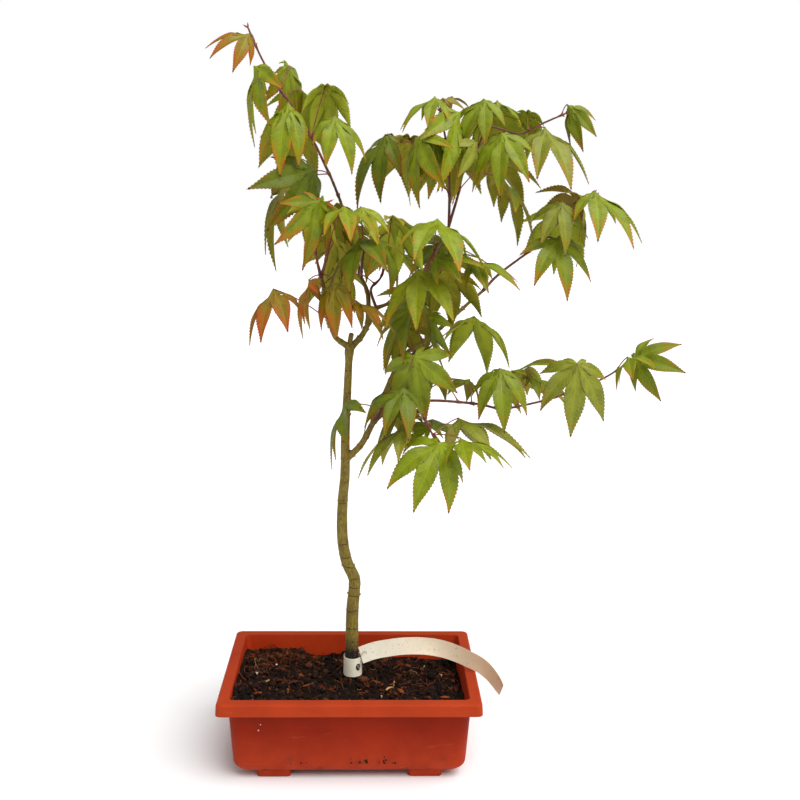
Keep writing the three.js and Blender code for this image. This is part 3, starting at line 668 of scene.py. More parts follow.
class Lobe:
    """One lobe's middle line. It leaves the stalk's end on a cone under the blade and bends down."""

    def __init__(self, apex, axes, droop, angle, length):
        forward, side, up = axes
        start = forward * cos(angle) * cos(droop) + side * sin(angle) * cos(droop) - up * sin(droop)
        across = side * cos(angle) - forward * sin(angle)
        self.apex, self.length = apex, length
        self.dip = asin(max(-1, min(1, start[2])))
        room = self.dip + radians(LEAF["steepest"])
        self.hang = 0.001 if abs(room) < 0.001 else min(radians(LEAF["hang"]), room)
        self.outward = compass(atan2(start[1], start[0]))
        self.level = np.cross(UP, self.outward)
        self.cosine = across.dot(self.level)
        self.sine = across.dot(UP * cos(self.dip) - self.outward * sin(self.dip))

    def middle(self, t):
        """Points at shares t of the lobe's length."""
        tilt = self.dip - self.hang * t
        run = (sin(self.dip) - np.sin(tilt)) / self.hang * self.length
        rise = (np.cos(tilt) - cos(self.dip)) / self.hang * self.length
        return self.apex + run[..., None] * self.outward + rise[..., None] * UP

    def axes(self, t):
        """The directions across the lobe and up from it at shares t of its length."""
        tilt = self.dip - self.hang * t
        along = np.cos(tilt)[..., None] * self.outward + np.sin(tilt)[..., None] * UP
        normal = np.cos(tilt)[..., None] * UP - np.sin(tilt)[..., None] * self.outward
        across = self.cosine * self.level + self.sine * normal
        return across, np.cross(along, across)


def margin(lobe, notch, teeth):
    """One side of a lobe from its notch to its tip: places along the lobe, half widths in millimetres and
    the places where the rows that end there leave the rib."""
    half = lobe.length * LEAF["half_width"]
    across, _ = lobe.axes(np.array(0.0))
    along = unit(lobe.middle(np.array(0.3)) - lobe.apex)
    first = (notch - lobe.apex).dot(along) / lobe.length
    outline = tuple(zip(*LOBE_OUTLINE))
    widening = abs((notch - lobe.apex).dot(across)) / half - np.interp(first, *outline)
    rows = 2 * teeth
    places, widths, ribs = [], [], []
    for j in range(rows + 1):
        t = first + (1 - first) * j / rows
        share = np.interp(t, *outline) + widening * max(0.0, 1 - (t - first) / 0.15) ** 2
        depth = TOOTH * lobe.length * (0.35 + 0.65 * share) * clamped((t - 0.2) / 0.15)
        ribs.append(t - 0.13 * share)
        if 0 < j < rows:
            pointed = j % 2 == 0
            places.append(t + (0.45 if pointed else -0.1) * (1 - first) / rows)
            widths.append(max(0.02 * half, share * half + (depth if pointed else -0.4 * depth)))
        else:
            places.append(t)
            widths.append(share * half if j == 0 else 0.0)
    return places, widths, ribs


def lobe_grid(edges, rows):
    """How far along a lobe and how far across it each point of its skin is."""
    t, x = np.zeros((2, rows, len(TOP_COLUMNS)))
    for j in range(rows):
        share = min(1, j / BASE_ROWS)
        k = max(0, j - BASE_ROWS)
        rib = share * (edges[0][2][k] + edges[1][2][k]) / 2
        for c, s in enumerate(TOP_COLUMNS):
            places, widths, _ = edges[0 if s < 0 else 1]
            t[j, c] = rib + (share * places[k] - rib) * abs(s)
            x[j, c] = s * share * widths[k]
    return t, x


def lobe_middle(lobe, sides, t, x, growth):
    """The places halfway between a lobe's two skins, folded, bowed, waved and quilted."""
    fold, arch, wave, phase, bend, twist, _ = growth
    half = lobe.length * LEAF["half_width"]
    out = np.abs(x) / half
    across, lift = lobe.axes(t)
    ease = np.clip((t - 0.1) / 0.3, 0, 1)
    ease = ease * ease * (3 - 2 * ease)
    height = np.abs(x) * sin(fold) * (1 - 0.25 * out) - arch * half * out ** 2
    height = (height + CROWN * lobe.length * np.sin(pi * np.clip(t, 0, 1))) * ease
    height += wave * out ** 2 * np.sin(2 * pi * (1.6 * t + phase) + 1.3 * np.sign(x))
    height += x * twist * t
    ridge = np.where((np.arange(len(t)) % 2 == 1)[:, None], QUILT, -QUILT)
    height += ridge * np.sin(pi * np.clip(out, 0, 1)) * np.clip((t - 0.08) / 0.15, 0, 1) * (t < 0.97)
    middle = lobe.middle(t) + across * (x * cos(fold) + bend * lobe.length * t ** 3)[..., None]
    middle = middle + lift * height[..., None]
    pull = np.array([[abs(s) ** 1.5] for s in TOP_COLUMNS])
    centre = len(TOP_COLUMNS) // 2
    for notch, edge, half_of in ((sides[0], 0, slice(centre)), (sides[1], -1, slice(centre, None))):
        for j in range(BASE_ROWS + EASE_ROWS):
            if j <= BASE_ROWS:
                gap = last = lobe.apex + (notch - lobe.apex) * min(1, j / BASE_ROWS) - middle[j, edge]
            else:
                gap = last * (1 - (j - BASE_ROWS) / EASE_ROWS) ** 2
            middle[j, half_of] += gap * pull[half_of]
    return middle, SKIN * (1 - out ** 4)[..., None] * lift


def lobe_skin(lobe, sides, teeth, up, looks, growth):
    """The points and faces of one lobe's upper and lower skin. sides holds the notches on its two sides."""
    edges = [margin(lobe, notch, teeth) for notch in sides]
    rows = BASE_ROWS + 2 * teeth + 1
    columns = len(TOP_COLUMNS)
    t, x = lobe_grid(edges, rows)
    middle, skin_half = lobe_middle(lobe, sides, t, x, growth)
    top, under = middle + skin_half, middle - skin_half
    for notch, c in zip(sides, (0, -1)):
        top[:BASE_ROWS, c] = middle[:BASE_ROWS, c] + SKIN * up
        under[:BASE_ROWS, c] = middle[:BASE_ROWS, c] - SKIN * up
        top[BASE_ROWS:, c] = under[BASE_ROWS:, c] = middle[BASE_ROWS:, c]
        top[BASE_ROWS, c] = under[BASE_ROWS, c] = notch
    top[0], under[0] = lobe.apex + SKIN * up, lobe.apex - SKIN * up
    top[-1] = under[-1] = middle[-1, columns // 2]
    faces, marks = [], []
    for j in range(rows - 1):
        for c in range(columns - 1):
            a = j * columns + c
            faces.append((a, a + columns, a + columns + 1, a + 1))
            s = (TOP_COLUMNS[c] + TOP_COLUMNS[c + 1]) / 2
            marks.append(looks[blade_look(t[j, c], s, top[j, c], growth[-1], j % 2 == 1)])
    for j in range(rows - 1):
        start = (rows + j) * columns
        for left, right in zip(UNDER_COLUMNS, UNDER_COLUMNS[1:]):
            a, b = start + left, start + right
            faces.append((a, b, b + columns, a + columns))
            marks.append(looks["under_dark" if bumpy(top[j, left], 7, 5) > 0.1 else "under"])
    return np.concatenate([top.reshape(-1, 3), under.reshape(-1, 3)]), faces, marks


def blade_look(t, s, place, youth, vein_and_lit_slope):
    """Which of a tone's looks a face of the blade has. Every other row is lighter and the rows between are
    darker, for the pale side veins and as painted light and shade on the two slopes of each quilted ridge.
    """
    patch, fine = bumpy(place, 6), bumpy(place, 1.7, 9)
    if t > 0.955 - 0.06 * youth:
        return "tip"
    if abs(s) > 0.93 and t + 0.3 * fine > 0.98 - 0.75 * youth:
        return "rim"
    if abs(s) < 0.05 and t < 0.9:
        return "rib"
    age = 0.8 * t + 0.32 * s * s + 0.26 * patch + 0.12 * fine - 0.9 + 0.68 * youth
    if age > 0:
        return list(RIPENING)[min(len(RIPENING) - 1, int(age / 0.09))]
    # Rows lighter on one slope of each quilted ridge and darker on the other: pale side veins, and painted
    # light and shade
    tint = 0.5 * patch + 0.3 * fine + 0.3 * (0.45 - abs(s)) + (0.09 if vein_and_lit_slope else -0.06)
    if tint > 0.16:
        return "light"
    return "dark" if tint < -0.14 else "blade"


def grow_blade(piece, apex, axes, size, droop, random, looks, youth, own):
    """One leaf blade. random is the source's stream, and own is this leaf's for what it adds."""
    lobes = []
    for angle, share, _ in LOBES:
        sway = radians(LEAF["sway"] * (random() - 0.5))
        stretch = 1 + LEAF["stretch"] * (random() - 0.5)
        lobes.append(Lobe(apex, axes, radians(droop), radians(angle) + sway, size * share * stretch))
    notches = []
    for lobe, after in zip(lobes, lobes[1:] + lobes[:1]):
        reach = min(LEAF["notch"] * size, LEAF["notch_most"] * min(lobe.length, after.length))
        if lobe is lobes[-1]:
            reach = LEAF["heel"] * size
        ends = [one.middle(np.array(reach / one.length)) for one in (lobe, after)]
        notches.append((ends[0] + ends[1]) / 2)
    fold = radians(LEAF["fold"] + 26 * max(0, youth - 0.45))
    for i, lobe in enumerate(lobes):
        growth = (
            fold * spread(own, 0.7, 1.3), spread(own, 0.02, 0.14), spread(own, 0.2, 0.6), own(),
            spread(own, -0.05, 0.05), spread(own, -0.1, 0.1), youth + spread(own, -0.08, 0.08),
        )
        piece.add(*lobe_skin(lobe, (notches[i - 1], notches[i]), LOBES[i][2], axes[2], looks, growth))


def grow_leaf(leaves, twigs, stem, leaf, random, own):
    """One leaf on its stalk, which leaves the stem at the leaf's place."""
    place, heading, reach, rise, turn, slope, roll, size, droop, tone, youth = leaf
    root = stem.at(place)
    away = compass(radians(heading)) * cos(radians(rise)) + UP * sin(radians(rise))
    apex = root + away * reach
    axes = leaf_axes(radians(heading + turn), radians(slope), radians(roll))
    grow_blade(leaves, apex, axes, size, droop, random, LEAF_FINISHES[tone], youth, own)
    bend = (root + apex) / 2 + UP * LEAF["stalk_arch"] * reach
    shares = [k / 16 for k in range(17)]
    points = [arc(root, bend, apex, u) for u in shares]
    radii = [0.44 + 0.45 * exp(-u * reach / 1.2) + 0.18 * exp((u - 1) * reach / 1.5) for u in shares]
    twigs.loft(tube(points, radii, 8), STALKS["ripe" if youth > 0.35 else "green"])
    return root, unit(points[2] - points[0])


# The red leaf that is still unfolding at the end of the left shoot: where its folded lobes point
FOLDED_TIPS = [(-39, -31, 436.5), (-33, -29, 432.5), (-30, -33, 438.5), (-12.5, -27, 436), (-14, -29, 430)]


def unfold(twigs):
    root, heart = np.array([-31.5, -27.5, 420]), np.array([-19.0, -27, 433])
    points = [root + (heart - root) * u + UP * 2 * sin(pi * u) for u in np.linspace(0, 1, 9)]
    twigs.loft(tube(points, [0.45] * 9, 8), YOUNG)
    for tip in FOLDED_TIPS:
        length = np.linalg.norm(tip - heart)
        way = unit(tip - heart)
        bud(twigs, heart - 0.3 * way, way, length, 0.11 * length + 0.9, YOUNG)


def grow_shoot(name, path, rows, seed):
    """A mass of foliage: its leaves as one piece, and its stem, stalks and buds as another."""
    leaves, twigs = Piece(), Piece()
    random, own = seeded(seed), seeded(seed + 100)
    stem = Line(path)
    roots = [grow_leaf(leaves, twigs, stem, leaf, random, own) for leaf in rows]
    points = stem.run(1.2)
    along = distances(points)
    bough_tip = next((radii[1] for bough, radii in BOUGHS.values() if bough[-1] == path[0]), 1.2)
    nodes = {place: stem.at(place) for place in sorted({round(leaf[0], 1) for leaf in rows})}
    radii = []
    for point, distance in zip(points, along):
        radius = 1.1 - 0.4 * distance / along[-1] + (bough_tip - 1.1) * exp(-distance / 9)
        near = min(np.linalg.norm(point - spot) for spot in nodes.values())
        radii.append(radius + 0.38 * bell(near / 1.5))
    points, radii = domed(points, radii, 0.6)
    twigs.loft(tube(points, radii, 12, lambda p, k: 0.07 * bumpy(p, 1.1) + 0.06 * bumpy(p, 3, 4)), STEM)
    for place, spot in nodes.items():
        if place < 0.3:
            continue
        line = unit(stem.at(min(place + 0.05, stem.last)) - stem.at(max(place - 0.05, 0)))
        across = unit(np.cross(line, (sin(place * 5), cos(place * 5), 0.3)))
        for out in (-across, across):
            size = spread(own, 1.6, 2.6)
            bud(twigs, spot + out * 0.7 + line * 0.8, unit(out + line * 1.3), size, size * 0.5, BUD)
    for root, away in roots:
        bud(twigs, root + away * 0.6 + UP * 0.5, unit(away + UP * 0.9), spread(own, 1.2, 2), 0.9, BUD)
    tip = unit(stem.at(stem.last) - stem.at(stem.last - 0.1))
    for k in range(3):
        way = unit(tip + 0.7 * unit(np.cross(tip, (sin(2.1 * k), cos(2.1 * k), 0.4))))
        bud(twigs, stem.at(stem.last) + 0.4 * way, way, spread(own, 2.6, 4.6), 1.3, BUD)
    if name == "left":
        unfold(twigs)
    leaves.make(f"leaves_{name}", "foliage", f"foliage_{name}", weld=True)
    twigs.make(f"stems_{name}", "foliage", f"foliage_{name}")


# Trunk and boughs


def trunk_radius(z):
    foot = TRUNK_PATH[0][2]
    if z > TRUNK["fork_z"] + TRUNK["fork_height"]:
        return TRUNK["stub_radius"]
    share = (z - foot) / (TRUNK["fork_z"] - foot)
    return (TRUNK["root_radius"] + (TRUNK["top_radius"] - TRUNK["root_radius"]) * share
            + TRUNK["flare"] * exp((foot - z) / TRUNK["flare_height"])
            + TRUNK["fork_swell"] * bell((z - TRUNK["fork_z"]) / TRUNK["fork_height"]))


def scars_near(z, turn):
    """The scar rings that run up and down a little round the limb: number, how far off one is, strength."""
    for k, (height, strength) in enumerate(SCARS):
        off = z - height - 0.9 * sin(turn + 2.1 * k)
        if abs(off) < 4:
            yield k, off, strength


def in_groove(place, points):
    """Whether a place on the trunk lies in the thin dark line under a strong ring of scars."""
    middle = points[np.searchsorted(points[:-len(DOME), 2], place[2])]
    turn = atan2(place[1] - middle[1], place[0] - middle[0])
    return any(abs(off + 1.3) < 0.42 * strength and bumpy(place, 3, k) > -0.4
               for k, off, strength in scars_near(place[2], turn))


def grow_trunk():
    piece = Piece()
    points = Line([(0.5, 0, 50)] + TRUNK_PATH).run(0.7)
    radii = [trunk_radius(max(point[2], TRUNK_PATH[0][2])) for point in points]
    points, radii = domed(points, radii, 1.2)

    def relief(p, k):
        """Low ridges with a groove under each, flutes at the foot and a fine roughness."""
        turn = atan2(p[1] - points[k][1], p[0] - points[k][0])
        scars = sum(strength * (0.26 * bell(off / 0.9) - 0.24 * bell((off + 1.3) / 0.5))
                    for _, off, strength in scars_near(p[2], turn))
        flutes = 0.5 * cos(3 * turn + 0.6) * exp((58 - p[2]) / 9)
        return scars + flutes + (0.08 * bumpy(p, 9) + 0.05 * bumpy((p[0], p[1], p[2] / 5), 1.2))

    rings = np.array(tube(points, radii, 44, relief))
    faces = skin(rings)
    places = rings.reshape(-1, 3)
    piece.add(rings, faces, [SCAR if in_groove(places[face[0]], points) else BARK for face in faces])
    for k, (height, strength) in enumerate(SCARS):
        if strength >= 0.65:
            near = min(points, key=lambda p: abs(p[2] - height))
            for turn in (1.2 * k, 1.2 * k + pi):
                out = compass(turn)
                bud(piece, near + out * (trunk_radius(height) - 0.4), unit(out + UP * 0.9), 1.8, 2.2, BARK)
    piece.make("trunk_bark", "bark", "trunk")


def grow_bough(name, path, ends, seed):
    """A bough with its collar, skin and bud scars. It starts at the middle of the limb that carries it."""
    piece = Piece()
    own = seeded(seed)
    points = Line(path).run(0.9)
    along = distances(points)
    scars = []
    spot = spread(own, 7, 11)
    while spot < along[-1] - 3:
        scars.append(spot)
        spot += spread(own, 9, 17)
    radii = []
    for distance in along:
        radius = ends[0] + (ends[1] - ends[0]) * distance / along[-1] + 0.9 * exp(-distance / 3)
        radii.append(radius + sum(0.35 * bell((distance - scar) / 0.9) for scar in scars))
    points, radii = domed(points, radii, ends[1] * 0.6)
    piece.loft(tube(points, radii, 24, lambda p, k: 0.12 * bumpy(p, 4) + 0.08 * bumpy(p, 1)), BARK)
    for scar in scars:
        k = int(np.searchsorted(along, scar))
        line = unit(points[k + 1] - points[k])
        turn = spread(own, 0, 2 * pi)
        across = unit(np.cross(line, (sin(turn), cos(turn), 0.2)))
        for out in (-across, across):
            length = spread(own, 1.4, 2.2)
            bud(piece, points[k] + out * (radii[k] - 0.4), unit(out + line * 1.2), length, 1.2, BUD)
    piece.make(f"bark_{name}", "bark", f"bough_{name}")


# Pot

CORNERS = ((1, 1), (-1, 1), (-1, -1), (1, -1))


def rounded_ring(half_x, half_y, corner, z):
    """A rectangle with round corners, anticlockwise from above, with close points beside each corner."""
    steps, sides, beside = 7, 10, 0.8

    def bend(quarter, turn):
        x, y = CORNERS[quarter % 4]
        return np.array([x * (half_x - corner) + corner * cos(turn),
                         y * (half_y - corner) + corner * sin(turn), z])

    ring = []
    for quarter in range(4):
        ring += [bend(quarter, pi / 2 * (quarter + k / steps)) for k in range(steps + 1)]
        start, end = ring[-1], bend(quarter + 1, pi / 2 * (quarter + 1))
        length = np.linalg.norm(end - start)
        shares = [(beside + (length - 2 * beside) * k / sides) / length for k in range(sides + 1)]
        ring += [start + (end - start) * share for share in shares]
    return np.array(ring)


def eased(profile, steps=4):
    """A pot's profile with each of its corners rounded by the radius in its last place."""
    out = []
    for k, (inset, z, corner, radius) in enumerate(profile):
        here = np.array([inset, z])
        if radius == 0:
            out.append((inset, z, corner))
            continue
        back, forth = (np.array(profile[k + way][:2]) - here for way in (-1, 1))
        cut = min(radius, 0.45 * np.linalg.norm(back), 0.45 * np.linalg.norm(forth))
        start, end = here + unit(back) * cut, here + unit(forth) * cut
        curve = [arc(start, here, end, i / steps) for i in range(steps + 1)]
        spots = [start + unit(back) * 0.1 * cut, *curve, end + unit(forth) * 0.1 * cut]
        out += [(*spot, corner) for spot in spots]
    return out


def wall_inset(z):
    return POT["flange"] + POT["taper"] * (POT["height"] - z) / (POT["height"] - WALL_FOOT)


def pot_ring(inset, z, corner):
    return rounded_ring(POT["length"] / 2 - inset, POT["width"] / 2 - inset, corner, z)


def make_pot():
    top_inset = POT["flange"] - POT["wall"]
    bottom_inset = top_inset + POT["taper"]
    height, lip, corner, rim = POT["height"], POT["lip_height"], POT["corner"], POT["rim_corner"]
    profile = []
    for k in range(13):
        turn = pi / 2 * k / 12
        profile.append((bottom_inset + POT["edge_round"] * (1 - sin(turn)),
                        POT["foot_height"] + POT["edge_round"] * (1 - cos(turn)), corner, 0))
    quarters = (0.25, 0.5, 0.75)
    rise = UNDER_FLANGE - OUTER_WALL_FOOT
    profile += [(bottom_inset - POT["taper"] * share, OUTER_WALL_FOOT + rise * share, corner, 0)
                for share in quarters]
    mouth = INNER_CORNER - 3.5
    profile += [
        (top_inset, UNDER_FLANGE, corner, 0.9), (POT["skirt"], UNDER_FLANGE, rim - 1, 0.7),
        (POT["skirt"], height - lip, rim - 1, 0.5), (0, height - lip, rim, 0.6),
        (0.5, height - 1.2, rim, 1.6), (1.8, height, rim, 1.2), (wall_inset(height), height, mouth, 1),
    ]
    for share in quarters:
        z = height + (WALL_FOOT - height) * share
        profile.append((wall_inset(z), z, mouth + (INNER_CORNER - mouth) * share, 0))
    for k in range(9):
        turn = pi / 2 * k / 8
        profile.append((wall_inset(WALL_FOOT) + INNER_ROUND * (1 - cos(turn)),
                        POT_FLOOR + INNER_ROUND * (1 - sin(turn)), INNER_CORNER, 0))
    rows = eased(profile)
    rings = np.array([pot_ring(*row) for row in rows])
    wavy = np.array([[bumpy((p[0], p[1], p[2] * 2), 34) for p in ring] for ring in rings])
    outward = rings * (1, 1, 0)
    outward = outward / np.linalg.norm(outward, axis=2, keepdims=True)
    free = np.clip(np.abs(rings[..., 2] - height) / 14, 0, 1) * np.clip((rings[..., 2] - 6) / 10, 0, 1)
    rings = rings + outward * (0.35 * wavy * free)[..., None]
    top = max(range(len(rows)), key=lambda k: rows[k][1])
    marks = []
    for k in range(len(rows) - 1):
        # The inner walls take the inside finish, whose lighter colour is painted light
        inside = k > top and rows[k + 1][1] < height - 1
        marks += [POT_INSIDE_PAINTED_LIGHT if inside else POT_FINISH] * len(rings[k])
    piece = Piece()
    piece.loft(rings, marks + [POT_FINISH, POT_INSIDE_PAINTED_LIGHT])
    half_x, half_y = FOOT["length"] / 2, FOOT["width"] / 2
    foot = np.array([rounded_ring(half_x + grow, half_y + grow, FOOT["corner"] + grow, z)
                     for z, grow in ((0, -0.7), (0.25, -0.25), (0.8, 0), (5.2, 0), (6.3, 0.3))])
    for x, y in CORNERS:
        piece.loft(foot + (x * FOOT["from_middle"][0], y * FOOT["from_middle"][1], 0), POT_FINISH)
    splash(piece)
    piece.make("pot_shell", "pot", "pot", sharp=50)


# Where soil sticks low on the pot's front, how many flakes, and white flecks: how far right and how high
SPLASHES = (-37, 1, 8, 13, 26, 33)
FLAKES = 48
FLECKS = [((-68.5, 42.4), 1.4), ((-66.9, 47.2), 1)]


def flake(piece, draw, x, z, size, finish):
    """A flat crumb that sticks to the pot's front wall, that far right and that high."""
    share = (UNDER_FLANGE - z) / (UNDER_FLANGE - OUTER_WALL_FOOT)
    spot = np.array([x, POT["flange"] - POT["wall"] + POT["taper"] * share - POT["width"] / 2, z])
    rings = []
    for depth, wide in ((0.25, 0.8), (0, 1), (-0.2, 0.75), (-0.28, 0.3)):
        radius = size / 2 * wide
        bends = [2 * pi * (i + 0.3 * draw()) / 9 for i in range(9)]
        rings.append([spot + (radius * cos(bend), depth * min(1, size), radius * sin(bend))
                      for bend in bends])
    piece.loft(rings, finish)


def splash(piece):
    """Flecks and bits of soil on the pot's front."""
    draw = seeded(31)
    for place, size in FLECKS:
        flake(piece, draw, *place, size, LITTER["pale"])
    for k in range(FLAKES):
        x = SPLASHES[k % len(SPLASHES)] + 9 * spread(draw, -1, 1) ** 3
        z = 14.2 + 6 * draw() ** 3
        size = 0.4 + 1.5 * draw() ** 2
        flake(piece, draw, x, z, size, LITTER["dark" if draw() < 0.6 else "brown"])


# Soil


def compost_height(x, y):
    """The soil's height as in the source, with the clods and hollows that it leaves out."""
    lumps = SOIL["lump"] * (sin(x / 9 + 1) * cos(y / 8) + 0.6 * sin(x / 5 + y / 6))
    far = clamped(hypot(x, y) / SOIL["pad"] - 1)
    height = SOIL["level"] + far * (lumps - SOIL["fall_right"] * x - SOIL["fall_back"] * max(0, y))
    clods = abs(bumpy((x, y, 0), 8)) + 0.6 * abs(bumpy((x, y, 9), 3.4))
    rough = 2.2 - 5.2 * clods + 1.1 * bumpy((x, y, 3), 2.2) + 0.5 * bumpy((x, y, 5), 1.1)
    rough = (rough + 3.4 * bumpy((x, y, 30), 17)) * min(1, max(0.25, hypot(x, y) / 9 - 0.6))
    edge = min(POT["length"] / 2 - 10.5 - abs(x), POT["width"] / 2 - 10.5 - abs(y))
    return height + rough + 0.8 * exp(-max(0, edge) / 3)


def make_soil():
    piece = Piece()
    foot = wall_inset(WALL_FOOT) + GAP
    rings = [pot_ring(foot + INNER_ROUND, POT_FLOOR + GAP, INNER_CORNER),
             pot_ring(foot, WALL_FOOT + GAP, INNER_CORNER),
             pot_ring(wall_inset(SOIL["lowest"]) + GAP, SOIL["lowest"], INNER_CORNER)]
    edge = pot_ring(wall_inset(SOIL["level"]) + GAP, 0, INNER_CORNER - 2)
    rows = 64
    for k in range(rows):
        flat = edge[:, :2] * (1 - k / rows)
        rings.append([(x, y, compost_height(x, y)) for x, y in flat])
    piece.loft(rings, SOIL_FINISH)
    piece.make("compost", "soil", "soil")


# What lies on the soil: how many crumbs, bark chips and fibres, and the kinds that each is picked from
CRUMBS, CHIPS, FIBRES = 2200, 110, 560
CRUMB_KINDS = ("dark", "black", "dark", "black", "brown")
CHIP_KINDS = ("rust", "brown", "rust", "straw")
FIBRE_KINDS = ("rust", "brown", "dark", "brown", "rust", "straw")
# The middle of the tangle of rusty fibres at the back on the left
TANGLE = (-55, 34)
# Pale and rusty bits that show in the photo: where each lies, its size and its finish
BITS = [(-81.5, 34, 3.4, "straw"), (-75, -4, 3, "pale"), (-40, -4, 3.6, "rust"), (73, 13, 3.2, "straw"),
        (81, -2, 2.6, "pale"), (-62, 22, 2.4, "pale"), (24, -30, 2.2, "pale")]


def soil_spot(draw, from_edge):
    return [spread(draw, -1, 1) * (POT[side] / 2 - from_edge) for side in ("length", "width")]


def turned(draw):
    """Three directions at right angles, the last one not far from upright."""
    along = unit(compass(spread(draw, 0, 2 * pi), spread(draw, -0.3, 0.3)))
    across = unit(np.cross(UP + 0.4 * np.array([spread(draw, -1, 1), spread(draw, -1, 1), 0]), along))
    return along, across, np.cross(along, across)


def crumb(piece, draw, x, y, size, finish):
    """A lump of compost: a rough ball of rings."""
    centre = np.array([x, y, compost_height(x, y) + 0.15 * size])
    along, across, up = turned(draw)
    stretch = spread(draw, 0.7, 1.3)
    seed = spread(draw, 0, 50)
    rings = []
    for k in range(1, 6):
        tilt = pi * k / 6
        ring = []
        for turn in turns(8):
            way = along * sin(tilt) * cos(turn) * stretch + across * sin(tilt) * sin(turn) - up * cos(tilt)
            rough = 1 + 0.7 * bumpy(way, 0.8, seed) + 0.35 * bumpy(way, 0.35, seed + 9)
            ring.append(centre + (way - up * 0.35 * way.dot(up)) * size / 2 * max(0.3, rough))
        rings.append(ring)
    piece.loft(rings, finish)


def chip(piece, draw, x, y, length, width, finish):
    """A splinter of bark: a thin bent slab with ragged ends."""
    along, across, up = turned(draw)
    base = np.array([x, y, compost_height(x, y) + 0.25 * width])
    thick = spread(draw, 0.5, 1.1)
    bow = spread(draw, -0.12, 0.12)
    corners = ((-1, 0.3), (-0.8, -0.5), (0.7, -0.5), (1, 0.2), (0.5, 0.6), (-0.5, 0.55))
    rings = []
    for k in range(7):
        share = k / 6 - 0.5
        wide = width / 2 * (1 - 1.6 * abs(share) ** 1.7) * spread(draw, 0.75, 1.1)
        middle = base + along * length * share + up * bow * length * (1 - 4 * share * share)
        rings.append([middle + across * wide * a + up * thick * b * spread(draw, 0.7, 1.2)
                      for a, b in corners])
    piece.loft(rings, finish)


def fibre(piece, draw, x, y, length, radius, finish, highest):
    """A curled root or fibre that lies on the compost."""
    heading = spread(draw, 0, 2 * pi)
    curl = spread(draw, -0.35, 0.35)
    lift = spread(draw, 0.3, highest)
    room = np.array([POT["length"], POT["width"]]) / 2 - 11.5
    steps = 10
    points = []
    for k in range(steps + 1):
        points.append(np.array([x, y, compost_height(x, y) + 0.2 + lift * sin(pi * k / steps)]))
        heading += curl * spread(draw, 0.2, 1.8)
        step = compass(heading) * length / steps
        x, y = np.clip((x + step[0], y + step[1]), -room, room)
    radii = [radius * (1 - 0.6 * k / steps) for k in range(steps + 1)]
    piece.loft(tube(points, radii, 5), finish)


def make_litter():
    draw = seeded(71)
    crumbs, chips, fibres = Piece(), Piece(), Piece()
    for _ in range(CRUMBS):
        size = 0.8 + 2.6 * draw() ** 3 + 6 * draw() ** 14
        crumb(crumbs, draw, *soil_spot(draw, 12.5), size, LITTER[pick(draw, CRUMB_KINDS, 0.7)])
    for _ in range(CHIPS):
        x, y = soil_spot(draw, 17)
        length = spread(draw, 3, 10)
        width = length * spread(draw, 0.2, 0.45)
        chip(chips, draw, x, y, length, width, LITTER[pick(draw, CHIP_KINDS, 0.25)])
    for k in range(FIBRES):
        x, y = soil_spot(draw, 13)
        tangled = k % 4 == 0
        if tangled:
            x, y = TANGLE[0] + spread(draw, -26, 26), TANGLE[1] + spread(draw, -15, 15)
        length, radius = spread(draw, 5, 22), spread(draw, 0.14, 0.4)
        finish = LITTER[pick(draw, FIBRE_KINDS, 0.12)]
        fibre(fibres, draw, x, y, length, radius, finish, 5 if tangled else 2)
    for *bit, kind in BITS:
        crumb(crumbs, draw, *bit, LITTER[kind])
    for name, piece in (("crumbs", crumbs), ("chips", chips), ("fibres", fibres)):
        piece.make(f"compost_{name}", "soil", "soil")


# Tag


def make_tag():
    piece = Piece()
    centre = np.array([*TAG["centre"], 0])
    rings = []
    for radius, heights in ((TAG["radius"], range(9)), (TAG["radius"] - TAG["thick"], range(8, -1, -1))):
        for k in heights:
            z = TAG["low"] + TAG["width"] * k / 8
            ring = []
            for turn in turns(96):
                r = radius - 0.25 + 0.25 * sin(3 * turn + 1) * (k / 8)
                ring.append(centre + (r * cos(turn), r * sin(turn), z))
            rings.append(ring)
    piece.loft(rings, TAG_FINISH, hoop=True)
    points = Line(TAG_PATH).run(1.5)
    along = distances(points)
    steps = 12
    rings = []
    for k, point in enumerate(points):
        way = way_at(points, k)
        face = unit(np.cross(way, UP))
        up = np.cross(face, way)
        share = along[k] / along[-1]
        twist = radians(TAG["lean"]) + radians(TAG["twist"]) * max(0, (share - 0.4) / 0.6) ** 1.4
        face, up = face * cos(twist) - up * sin(twist), up * cos(twist) + face * sin(twist)
        ease = min(1, along[k] / 12, (along[-1] - along[k]) / 12)
        row = []
        for i in range(steps + 1):
            a = 2 * i / steps - 1
            slant = -TAG["slant"] * a * max(0, share - 0.9) * 10
            wobble = ease * (0.5 * sin(along[k] / 9) * a + 0.35 * bumpy((along[k], a * 6, 0), 14))
            cup = 0.5 * (a * a - 0.3)
            edge = TAG["strip"] / 2 * a * (1 - 0.02 * bumpy((along[k], 3 * np.sign(a), 0), 3))
            row.append(point + up * edge + way * slant + face * (wobble + cup))
        half = face * TAG["thick"] / 2
        rings.append([p - half for p in reversed(row)] + [p + half for p in row])
    piece.loft(rings, TAG_FINISH)
    cut_slit(piece.make("tag_strip", "tag", "tag", sharp=40))


# The oval slit in the band: its middle's x and z, its half sizes, and the depths between which it is cut
SLIT = {"middle": (TAG["centre"][0] + 4.3, TAG["low"] + 7.8), "half": (1.7, 2.9), "depths": (-12, -4)}


